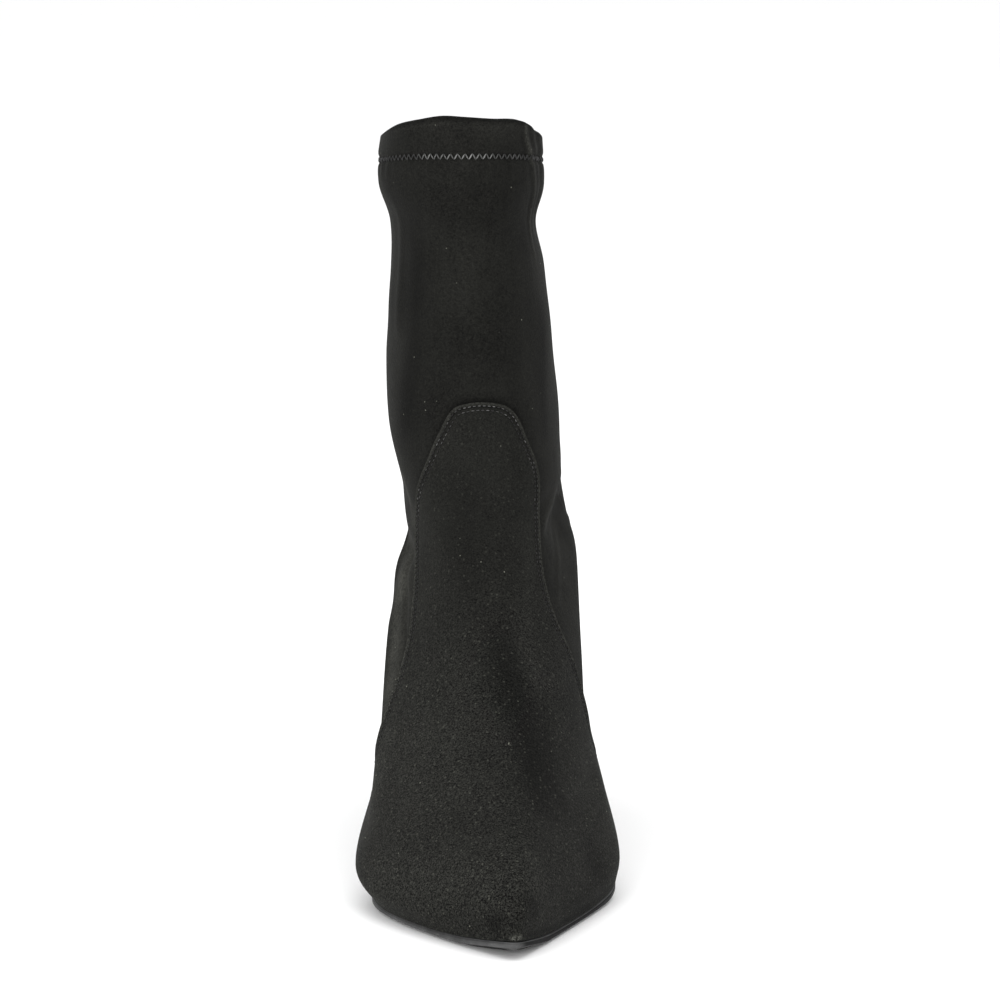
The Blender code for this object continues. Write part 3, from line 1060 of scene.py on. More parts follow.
SHAFT_STROKES = (
    # painted highlights on the collar's medial corner and along the front of the hem, and painted shade on
    # the lateral side below it
    Stroke(COLLAR_CORNER, 0.9 * MM, 1.1, 0.15),
    Stroke(((13.8, 43), (12.9, 45), (12.65, 47), (12.45, 52), (12.3, 54)), 0.8 * MM, 1.6),
    Stroke(((12.8, 70), (12.4, 72), (12.0, 74), (11.4, 76)), 3.5 * MM, 0.35),
    Stroke(((12.85, 2), (12.85, 22), (12.85, 46)), 4.0 * MM, 0.40),
    Stroke(((12.95, -50), (12.95, -25), (12.95, 5), (12.95, 35)), 4.0 * MM, 0.20),
    Stroke(((12.5, -63), (12.0, -61), (11.3, -59)), 4.5 * MM, -0.35),
    # painted light on the front of the shaft, and painted shade down its two flanks
    Stroke(((11.4, 4), (10.6, 6), (10.0, 2), (8.8, 4)), 8.0 * MM, 0.22),
    Stroke(((12.2, -52), (10.5, -46), (9.5, -45), (8.5, -46), (7.6, -54), (6.9, -61)), 6.0 * MM, -0.42, 0.15),
    Stroke(((11.4, 54), (10.4, 52), (9.4, 50), (8.6, 50)), 5.0 * MM, -0.14),
    Stroke(((9.8, 60), (8.7, 62), (7.7, 56), (6.8, 56)), 4.0 * MM, -0.45),
    # painted highlights at the lateral ankle: on its lit rim, and in the shaded hollow of the nip below it
    Stroke(((6.66, -74), (6.5, -72), (6.38, -70), (6.29, -68), (6.2, -67)), 1.2 * MM, 2.2),
    Stroke(((6.38, -65), (6.2, -66), (6.05, -67), (5.8, -70)), 2.8 * MM, 1.4, 0.4),
    Stroke(((5.8, -73), (5.5, -83), (5.22, -89), (5.05, -88), (4.85, -84)), 2.6 * MM, 1.4),
    Stroke(((5.55, -74), (5.29, -76), (5.17, -72), (5.0, -69), (4.75, -66)), 3.0 * MM, 0.70),
    # the quarter below it, painted light over partly paler nap, a painted rim light on its back edge and
    # painted shade in the line of its fold
    Stroke(((6.0, -76), (5.2, -76), (4.75, -76), (4.4, -72), (4.0, -70), (3.5, -68), (2.9, -68)),
           6.0 * MM, 1.4),
    Stroke(((5.4, -82), (4.75, -80), (4.4, -75), (4.0, -73), (3.5, -70)), 2.5 * MM, 1.1),
    Stroke(((5.8, -76), (5.45, -80), (5.25, -80), (5.0, -78), (4.6, -78)), 2.6 * MM, 1.3),
    Stroke(PULL_LINE, 0.8 * MM, -0.5),
    # painted highlights on the pulled fold, the upright line and the cloth beside them at the medial ankle,
    # and painted shade on the shaft's medial edge above
    Stroke(PULLED_FOLD, 1.8 * MM, 0.55),
    Stroke(UPRIGHT_LINE, 0.9 * MM, 0.25),
    Stroke(((7.0, 66), (6.7, 69), (6.45, 71)), 2.5 * MM, -0.30),
    Stroke(((6.4, 66), (5.9, 70), (5.4, 70), (4.8, 68), (4.2, 66)), 7.0 * MM, 0.30),
)
VAMP_STROKES = (
    # painted shade at the top of the instep, and a painted highlight in a strip along its medial side
    Stroke(((7.4, -10), (6.75, -16), (6.4, -20), (6.0, -18), (5.5, -14)), 7.0 * MM, -0.24),
    Stroke(((7.1, 10), (6.6, 8), (6.2, 4), (5.7, 6)), 12.0 * MM, -0.13),
    Stroke(((6.7, 33), (6.3, 31), (5.9, 31), (5.4, 24), (5.05, 27), (4.6, 33)), 4.0 * MM, 0.28),
    # painted shade in a sweep down the medial side of the instep and along its medial edge
    Stroke(((6.0, -4), (5.4, 2), (4.85, 11), (4.35, 18), (3.8, 23), (3.3, 28), (2.7, 34)), 6.2 * MM, -0.52),
    Stroke(((4.8, 34), (4.2, 35), (3.6, 37), (3.2, 42), (2.6, 46)), 5.5 * MM, -0.32),
    Stroke(((5.0, 66), (4.5, 64), (4.0, 59), (3.6, 52), (3.2, 50)), 4.5 * MM, -0.20),
    Stroke(((2.4, 54), (1.5, 55), (0.9, 58), (0.4, 56)), 6.5 * MM, -0.38),
    # painted light on the lateral side and across the toe
    Stroke(((5.2, -40), (4.5, -42), (3.5, -47), (2.2, -51), (1.2, -50)), 12.0 * MM, 0.20),
    Stroke(((1.0, -58), (1.15, -51), (1.7, -36), (2.15, -16), (2.3, 13), (1.7, 32)), 10.0 * MM, 0.36, 0.15),
    Stroke(((4.6, -29), (4.2, -29), (3.7, -29), (3.2, -32)), 6.0 * MM, 0.26),
    Stroke(((3.9, -66), (3.4, -66), (3.1, -66), (2.7, -66), (2.2, -68)), 3.5 * MM, 0.40),
    # the shaded turn-in along the medial sole edge
    Stroke(((0.3, 8), (0.25, 25), (0.25, 45), (0.3, 62), (0.5, 74)), 1.3 * MM, -0.55, 0.1),
    # a painted highlight on the tip, and darker patches round it
    Stroke(((0.16, -5), (0.22, 0), (0.25, 4), (0.22, 9)), 0.8 * MM, 3.0),
    Stroke(((1.3, -14), (0.9, -14), (0.5, -16)), 4.0 * MM, -0.50),
    Stroke(((1.9, 14), (1.4, 18), (1.0, 24)), 3.5 * MM, -0.45),
    Stroke(((1.1, 36), (0.7, 46), (0.5, 56)), 4.0 * MM, -0.35),
)
# Wave of the collar's edge: degrees from the front, and millimetres up
COLLAR_EDGE = (
    (-180, 0.0), (-90, -1.0), (-70, -0.9), (-50, 0.0), (-32, 0.4), (-12, 1.2), (2, 0.8), (20, 0.3), (40, 0.5),
    (48, 0.0), (60, -1.6), (80, -2.0), (110, -0.6), (180, 0.0),
)
# Slow waves of the cloth: how many go round, their slant up the shaft, and where they start
SLOW_WAVES = ((5, 1.9, 0.0), (7, -2.7, 1.0), (3, 4.1, 2.0))


@dataclass
class Drape:
    """Everything that lifts the cloth off the plain last: folds, the turned hem and slow unevenness."""

    last: Last
    creases: tuple[Crease, ...] = CREASES
    settle: Span = (0.0, 0.9)
    hem_ring: float = 12.445
    hem_ring_height: float = 20.0 * MM
    hem_swell: float = 0.45 * MM
    hem_climb: Span = (-0.5 * MM, 3.0 * MM)
    hem_pinch: float = 0.65 * MM
    hem_pinch_width: float = 1.5 * MM
    pucker: float = 0.18 * MM
    pucker_count: int = 46
    pucker_below: float = 2.5 * MM
    pucker_width: float = 4.0 * MM
    uneven: float = 0.22 * MM
    uneven_rings: Span = (4.5, 7.5)
    back_seam: float = 0.30 * MM
    back_seam_width: float = 0.9 * MM
    back_seam_arc: Span = (0.3, 0.9)
    back_seam_samples: int = 40

    def lift(self, ring: Array, turn: Array) -> Array:
        """How far the cloth stands out from the last.

        Args:
            ring: ring numbers.
            turn: angles, in the same shape.

        Returns:
            The lift in metres, negative where the cloth sinks.
        """
        points = self.last.skin(ring, turn)
        total = self.hem(ring, turn) + self.slow(ring, turn) + self.seam(points, turn)
        for crease in self.creases:
            total = total + crease.lift(self.last, points)
        return total * ease(*self.settle, ring)

    def hem(self, ring: Array, turn: Array) -> Array:
        """The doubled hem: it swells above its stitch line, is pinched along it and puckers beside it.

        The swell is a smooth step, the pinch a bell, and the puckers a sine round the leg whose pace and
        height vary slowly, under a bell of their own.

        Args:
            ring: ring numbers.
            turn: angles, in the same shape.

        Returns:
            The lift in metres.
        """
        height = (ring - self.hem_ring) * self.hem_ring_height
        pace = self.pucker_count * turn + 2.0 * np.sin(5 * turn)
        ripple = np.sin(pace) * (0.6 + 0.4 * np.sin(7 * turn + 1))
        return (
            self.hem_swell * ease(*self.hem_climb, height)
            - self.hem_pinch * bell(height, self.hem_pinch_width)
            + self.pucker * ripple * bell(height + self.pucker_below, self.pucker_width))

    def slow(self, ring: Array, turn: Array) -> Array:
        """Slow unevenness of soft cloth on the shaft: crossing sine waves round and up it."""
        waves = sum(np.sin(count * turn + slant * ring + start) for count, slant, start in SLOW_WAVES)
        return self.uneven * waves / 2 * ease(*self.uneven_rings, ring)

    def seam(self, points: Array, turn: Array) -> Array:
        """The sewn back seam: a narrow bell trough down the middle of the heel.

        Args:
            points: places on the last.
            turn: their angles.

        Returns:
            The lift in metres.
        """
        rings = np.linspace(1, self.last.top, self.back_seam_samples)
        middle = self.last.skin(rings, np.zeros_like(rings))
        across = np.interp(points[..., 2], middle[:, 2], middle[:, 0])
        rear = ease(*self.back_seam_arc, np.cos(turn))
        return -self.back_seam * rear * bell(points[..., 0] - across, self.back_seam_width)

    def cloth(self, ring: Array, turn: Array, height: Array | float = 0.0) -> Array:
        """The draped surface, raised by a height along its outward direction."""
        rise = self.lift(ring, turn) + height
        return self.last.skin(ring, turn) + rise[..., None] * self.last.outward(ring, turn)


# Stitches


@dataclass(frozen=True)
class Stitch:
    """The form of one stitch: a bar of thread that swells from one hole and sinks into the next."""

    radius: float
    arch: float
    along: int = 7
    around: int = 6
    blunt: float = 0.08

    def bars(self, starts: Array, ends: Array, outs: Array) -> tuple[Array, list[list[int]]]:
        """Many stitches as one mesh.

        Each bar's middle line runs straight between its two holes, arched out by a sine; its radius follows
        a flat-topped curve, and it is rounded with a ring of points at each step.

        Args:
            starts: first holes.
            ends: second holes.
            outs: unit directions out of the cloth.

        Returns:
            The points, and the faces with a cap on each end.
        """
        count = len(starts)
        share = np.linspace(0, 1, self.along)[None, :, None, None]
        angle = (np.arange(self.around) * 2 * math.pi / self.around)[None, None, :, None]
        first, second, out = (item[:, None, None, :] for item in (starts, ends, outs))
        side = unit(np.cross(out, second - first))
        middle = first + (second - first) * share + out * self.arch * np.sin(math.pi * share)
        thick = self.radius * np.sqrt(np.maximum(1 - np.abs(2 * share - 1) ** 3, self.blunt))
        points = middle + thick * (np.cos(angle) * side + np.sin(angle) * out)
        single = quads(self.along, self.around, wrap_columns=True)[:, ::-1]
        step = (np.arange(count) * self.along * self.around)[:, None, None]
        faces = (single[None] + step).reshape(-1, 4).tolist()
        ring = np.arange(self.around)
        for cap in (ring, ring[::-1] + (self.along - 1) * self.around):
            faces += (cap[None] + step[:, 0]).tolist()
        return points, faces


# Sub-assemblies


@dataclass
class Upper:
    """The stretch upper with its rolled collar, its lining and the zigzag that holds the hem."""

    last: Last
    drape: Drape
    suede: Suede
    knit: Knit
    thread: Thread
    rows: int = 232
    inner_rows: int = 70
    rim_rows: int = 9
    turns: int = 288
    hem_wall: float = 2.4 * MM
    wall: float = 1.5 * MM
    toe_wall: float = 1.0 * MM
    toe_reach: float = 30 * MM
    hem_from: Span = (12.25, 12.45)
    rim_back: float = 0.06
    # painted highlight in a band below the collar's fold, and painted shade on the fold
    rim_band: float = 1.0 * MM
    rim_band_width: float = 0.8 * MM
    rim_pale: float = 0.25
    rim_dark: float = 0.4
    rim_dark_width: float = 0.5 * MM
    lining_rise: float = 0.25 * MM
    lining_foot: float = 0.35
    lining_top: float = 12.3
    strokes: tuple[Stroke, ...] = SHAFT_STROKES
    vamp_groove: float = 0.30 * MM
    vamp_shade: float = 0.50
    vamp_reach: float = 1.5 * MM
    vamp_samples: int = 120
    zigzag: Stitch = Stitch(0.23 * MM, 0.14 * MM)
    zigzag_pitch: float = 2.4 * MM
    zigzag_height: float = 1.9 * MM
    zigzag_rise: float = 0.12 * MM
    zigzag_samples: int = 1600
    zigzag_dark: float = 0.05
    # painted highlight on the zigzag across the front, strongest on a band in its middle, and painted shade
    # where the thread sinks
    front_pale: float = 0.20
    front_arc: tuple[Span, Span] = ((-62, -40), (52, 36))
    band_highlight: float = 0.75
    band_highlight_arc: tuple[Span, Span] = ((-34, -25), (26, 9))
    slack_arc: Span = (-24, -34)
    down_share: float = 0.60
    wear_seed: int = 4
    wear_least: float = 0.45
    sunk_dark: float = 0.7

    def wall_at(self, ring: Array, points: Array) -> Array:
        """Thickness of the wall: doubled in the hem, skived thin in the toe.

        Args:
            ring: ring numbers.
            points: places on the last, in the same shape.

        Returns:
            The thickness in metres.
        """
        toe = self.last.centre_along - self.last.rings[0].front
        ahead = np.clip((points[..., 1] - toe) / self.toe_reach, 0, 1)
        plain = self.toe_wall + (self.wall - self.toe_wall) * ahead
        return plain + (self.hem_wall - plain) * ease(*self.hem_from, ring)

    def brim(self, turns: Array) -> Array:
        """Ring number of the collar's upper edge, which waves by a few millimetres round the leg.

        Args:
            turns: angles round the leg.

        Returns:
            The ring number at each angle.
        """
        rows = np.array(COLLAR_EDGE)
        wave = cubic(np.degrees(turns) - 180, rows[:, 0], rows[:, 1]) * MM
        return self.last.top - self.rim_back + wave / self.drape.hem_ring_height

    def collar_shading(self, below: Array) -> Array:
        """What the collar's edge adds to the tone: painted shade on the fold itself, a painted highlight in a
        band below it.
        """
        pale = self.rim_pale * bell(below - self.rim_band, self.rim_band_width)
        return pale - self.rim_dark * bell(below, self.rim_dark_width)

    def shell(self) -> bpy.types.Object:
        """The upper: one closed skin that climbs outside, rolls over the collar and goes down inside.

        The roll is a half circle as thick as the hem; the inside is the outside moved in by the wall.

        Returns:
            The upper's object.
        """
        turns = np.arange(self.turns) * 2 * math.pi / self.turns
        brim = self.brim(turns)
        ring = np.linspace(0, 1, self.rows)[:, None] * brim
        turn = np.broadcast_to(turns, ring.shape)
        plain = self.last.skin(ring, turn)
        vamp_edge = traced(self.last, vamp_line(), self.vamp_samples)
        beside = bell(path_distance(plain, vamp_edge)[0], self.vamp_reach)
        outside = self.drape.cloth(ring, turn, -self.vamp_groove * beside)
        tone = 1 - self.vamp_shade * beside + sum(stroke.shade(self.last, plain) for stroke in self.strokes)
        # the collar's painted shade and highlight
        tone = tone + self.collar_shading((brim - ring) * self.drape.hem_ring_height)
        out = self.last.outward(brim, turns)
        climb = unit(self.last.slopes(brim, turns)[0])
        angle = np.linspace(0, math.pi, self.rim_rows + 2)[1:-1, None, None]
        half = self.hem_wall / 2
        roll = outside[-1] - half * out + half * (np.cos(angle) * out + np.sin(angle) * climb)
        ring = np.linspace(1, 0, self.inner_rows)[:, None] * brim
        turn = np.broadcast_to(turns, ring.shape)
        inside = self.drape.cloth(ring, turn, -self.wall_at(ring, self.last.skin(ring, turn)))
        points = np.concatenate((outside, roll, inside))
        # the roll over the collar is painted with the fold's shade
        tone = np.concatenate((tone, np.full(roll.shape[:2], 1 - self.rim_dark), np.ones(inside.shape[:2])))
        faces = quads(*points.shape[:2], wrap_rows=True, wrap_columns=True).tolist()
        return make_piece("upper_shell", points, faces, self.suede.material(), "upper", tone)

    def lining(self) -> bpy.types.Object:
        """The knitted back of the cloth inside the boot: a thin sleeve just inside the wall.

        Returns:
            The lining's object.
        """
        turns = np.arange(self.turns // 2) * 4 * math.pi / self.turns
        rings = np.linspace(self.lining_foot, self.lining_top, self.inner_rows)
        ring, turn = np.meshgrid(rings, turns, indexing="ij")
        wall = self.wall_at(ring, self.last.skin(ring, turn))
        front = self.drape.cloth(ring, turn, -wall - self.lining_rise)
        back = self.drape.cloth(ring, turn, -wall - 2 * self.lining_rise)
        points = np.concatenate((front, back[::-1]))
        faces = quads(*points.shape[:2], wrap_rows=True, wrap_columns=True).tolist()
        return make_piece("lining", points, faces, self.knit.material())

    def hem_stitch(self) -> bpy.types.Object:
        """The zigzag round the hem: bars that go up and down in turn at an even pitch round the collar.

        Returns:
            The zigzag's object.
        """
        hem_ring = self.drape.hem_ring
        fine = np.linspace(0, 2 * math.pi, self.zigzag_samples)
        run = run_length(self.last.skin(np.full_like(fine, hem_ring), fine))
        legs = 2 * round(run[-1] / self.zigzag_pitch)
        down = np.arange(legs) % 2
        turn = np.interp(np.arange(legs) * run[-1] / legs, run, fine)
        swing = self.zigzag_height / 2 / self.drape.hem_ring_height
        ring = hem_ring + swing * np.where(down, 1.0, -1.0)
        holes = self.drape.cloth(ring, turn, self.zigzag_rise)
        points, faces = self.zigzag.bars(holes, np.roll(holes, -1, axis=0), self.last.outward(ring, turn))
        tone = np.broadcast_to(self.zigzag_tone(turn, down)[:, :, None], points.shape[:3])
        return make_piece("hem_stitch", points, faces, self.thread.material(), None, tone)

    def zigzag_tone(self, turn: Array, down: Array) -> Array:
        """How light the zigzag's thread is at each step along its bars.

        It carries a painted highlight across the front, strongest on a band in the middle of it, is painted
        darker on the bars that go down, and worn by a random share; painted shade darkens it where it sinks
        into the cloth at its holes, or between them where it hangs slack.

        Args:
            turn: angle where each bar starts.
            down: 1 for a bar that goes down, 0 for one that goes up.

        Returns:
            The tones, one row per bar.
        """
        degrees = np.degrees(turn) - 180
        front = window(degrees, *self.front_arc)
        band_lit = window(degrees, *self.band_highlight_arc)
        pale = self.zigzag_dark + self.front_pale * front + self.band_highlight * band_lit
        worn = np.random.default_rng(self.wear_seed).uniform(self.wear_least, 1.0, len(turn))
        ends = np.linspace(-1, 1, self.zigzag.along) ** 2
        slack = ease(*self.slack_arc, degrees)[:, None]
        sunk = slack * (1 - ends) + (1 - slack) * ends
        lean = np.where(down, self.down_share, 1.0)
        return (pale * lean * worn)[:, None] * (1 - self.sunk_dark * sunk)


@dataclass
class Vamp:
    """The laid-on vamp and the two rows of topstitch inside its edge."""

    last: Last
    drape: Drape
    suede: Suede
    thread: Thread
    columns: int = 250
    rows: int = 160
    foot_ring: float = 0.03
    sweep: float = 3.0
    bunch: float = 0.84
    rise: float = 0.3 * MM
    thick: float = 0.8 * MM
    rounding: float = 0.25 * MM
    edge_rows: int = 46
    edge_angle: float = 55.0
    edge_swell: float = 0.25 * MM
    edge_swell_width: float = 0.9 * MM
    # painted highlight on the raised fold of the sewn edge, and painted shade in the furrow of the first row
    edge_pale: float = 1.0
    edge_pale_at: float = 0.3 * MM
    edge_pale_width: float = 0.45 * MM
    furrow_width: float = 0.40 * MM
    furrow_dark: float = 0.75
    furrow_dark_width: float = 0.5 * MM
    strokes: tuple[Stroke, ...] = VAMP_STROKES
    stitch_rows: tuple[float, ...] = (1.2 * MM, 2.6 * MM)
    stitch_gleam: tuple[float, ...] = (1.0, 0.75)
    stitch_sink: float = 0.25 * MM
    stitch_pitch: float = 1.55 * MM
    stitch_gap: float = 0.60 * MM
    stitch_foot: float = 1.05
    stitch: Stitch = Stitch(0.16 * MM, 0.10 * MM)
    stitch_dark: float = 0.02
    stitch_side: float = 0.64
    stitch_side_rings: Span = (5.7, 6.7)
    stitch_top: float = 0.37
    stitch_top_rings: Span = (7.5, 7.95)
    stitch_rare: float = 3.0
    stitch_seed: int = 11
    seam_samples: int = 900

    def seam(self, count: int) -> tuple[Array, Array]:
        """Ring and turn along the sewn edge, from the lateral sole edge over the instep to the medial one."""
        drawn = through(VAMP_EDGE, count)
        return drawn[:, 1], from_front(drawn[:, 0])

    def relief(self, distance: Array) -> Array:
        """Height near the sewn edge: a bell along it, less a narrow bell under each row of stitches."""
        furrows = sum(bell(distance - row, self.furrow_width) for row in self.stitch_rows)
        return self.edge_swell * bell(distance, self.edge_swell_width) - self.stitch_sink * furrows

    def edge_tone(self, distance: Array) -> Array:
        """What the sewn edge adds to the tone: a painted highlight on its raised fold, and painted shade in
        the furrow at the first row.
        """
        pale = self.edge_pale * bell(distance - self.edge_pale_at, self.edge_pale_width)
        return pale - self.furrow_dark * bell(distance - self.stitch_rows[0], self.furrow_dark_width)

    def sheet(self) -> bpy.types.Object:
        """The vamp's sheet, ruled from the sole to the sewn edge and thickened outwards.

        Columns run from evenly spaced places on the foot line to the edge, swept sideways by a cube so that
        they do not cross; rows bunch towards both ends.

        Returns:
            The vamp's object.
        """
        edge_ring, edge_turn = self.seam(self.columns)
        foot = from_front(np.linspace(VAMP_EDGE[0][0], VAMP_EDGE[-1][0], self.columns))
        even = np.linspace(0, 1, self.rows)[:, None]
        climb = (1 - self.bunch) * even + self.bunch * even ** 2 * (3 - 2 * even)
        ring = self.foot_ring + (edge_ring - self.foot_ring) * climb
        turn = foot + (edge_turn - foot) * climb ** self.sweep
        height = np.full(ring.shape, self.rise)
        near = slice(self.rows - self.edge_rows, None)
        plain = self.last.skin(ring, turn)
        distance, _ = path_distance(plain[near], plain[-1])
        height[near] += self.relief(distance)
        tone = 1 + sum(stroke.shade(self.last, plain) for stroke in self.strokes)
        tone[near] += self.edge_tone(distance)
        points = self.drape.cloth(ring, turn, height)
        faces = quads(*points.shape[:2]).tolist()
        piece = make_piece("vamp_sheet", points, faces, self.suede.material(), "vamp", tone)
        wall = piece.modifiers.new("wall", "SOLIDIFY")
        wall.thickness = self.thick
        wall.offset = 1
        wall.use_rim = True
        edge = piece.modifiers.new("edge", "BEVEL")
        edge.width = self.rounding
        edge.segments = 2
        edge.limit_method = "ANGLE"
        edge.angle_limit = math.radians(self.edge_angle)
        return piece

    def stitch_row(self, inset: float) -> tuple[Array, Array, Array, Array]:
        """Holes of one row of stitches, which follows the sewn edge at a set distance inside it.

        Args:
            inset: distance of the row from the edge.

        Returns:
            First holes, second holes, directions out of the cloth and ring numbers, a row per stitch.
        """
        ring, turn = self.seam(self.seam_samples)
        ahead = unit(np.gradient(self.last.skin(ring, turn), axis=0))
        inward = unit(np.cross(ahead, self.last.outward(ring, turn)))
        line = self.last.stepped(ring, turn, inward * inset)
        run = run_length(self.last.skin(*line))
        first = (np.arange(int(run[-1] / self.stitch_pitch)) + 0.5) * self.stitch_pitch
        place = np.stack((first, first + self.stitch_pitch - self.stitch_gap))
        ring, turn = (np.interp(place, run, values) for values in line)
        keep = ring.min(axis=0) > self.stitch_foot
        ring, turn = ring[:, keep], turn[:, keep]
        starts, ends = self.drape.cloth(ring, turn, self.rise + self.thick - self.stitch_sink / 2)
        return starts, ends, self.last.outward(ring[0], turn[0]), ring[0]

    def stitch_tone(self, ring: Array, draws: Array, gleam: float) -> Array:
        """How light each stitch is: nearly black low down, brighter up the sides and on top of the instep.

        A stitch catches the light by a random share, raised to a power that few pass low down.

        Args:
            ring: ring number of each stitch.
            draws: its random share.
            gleam: brightness of its row.

        Returns:
            The tones.
        """
        side = self.stitch_side * ease(*self.stitch_side_rings, ring)
        high = ease(*self.stitch_top_rings, ring)
        caught = draws ** (self.stitch_rare - (self.stitch_rare - 1) * high)
        return self.stitch_dark + (side + self.stitch_top * high) * caught * gleam

    def topstitch(self) -> bpy.types.Object:
        """The rows of stitches along the edge, as one mesh.

        Returns:
            The stitches' object.
        """
        points: list[Array] = []
        faces: list[list[int]] = []
        tones: list[Array] = []
        total = 0
        draw = np.random.default_rng(self.stitch_seed)
        for inset, gleam in zip(self.stitch_rows, self.stitch_gleam):
            starts, ends, outs, ring = self.stitch_row(inset)
            bars, bar_faces = self.stitch.bars(starts, ends, outs)
            tone = self.stitch_tone(ring, draw.uniform(0, 1, len(bars)), gleam)
            tones.append(np.repeat(tone, bars.shape[1] * bars.shape[2]))
            points.append(bars.reshape(-1, 3))
            faces += [[corner + total for corner in face] for face in bar_faces]
            total += len(points[-1])
        return make_piece(
            "vamp_stitch", np.concatenate(points), faces, self.thread.material(), None,
            np.concatenate(tones))


# Cuts of the sole's edge and of the sock's: inset from the outline, and depth as a share of the thickness
EDGE_CUT = (
    (1.1 * MM, 0.0), (0.55 * MM, 0.0), (0.30 * MM, 0.03), (0.14 * MM, 0.09), (0.10 * MM, 0.17),
    (0.14 * MM, 0.24), (0.30 * MM, 0.27), (0.12 * MM, 0.31), (0.02 * MM, 0.38), (0.0, 0.50),
    (0.0, 0.70), (0.03 * MM, 0.82), (0.12 * MM, 0.91), (0.35 * MM, 0.98), (1.1 * MM, 1.0),
)
SOCK_CUT = (
    (1.2 * MM, 0.0), (0.6 * MM, 0.06), (0.2 * MM, 0.25), (0.0, 0.6), (0.0, 1.0), (0.6 * MM, 1.0),
)


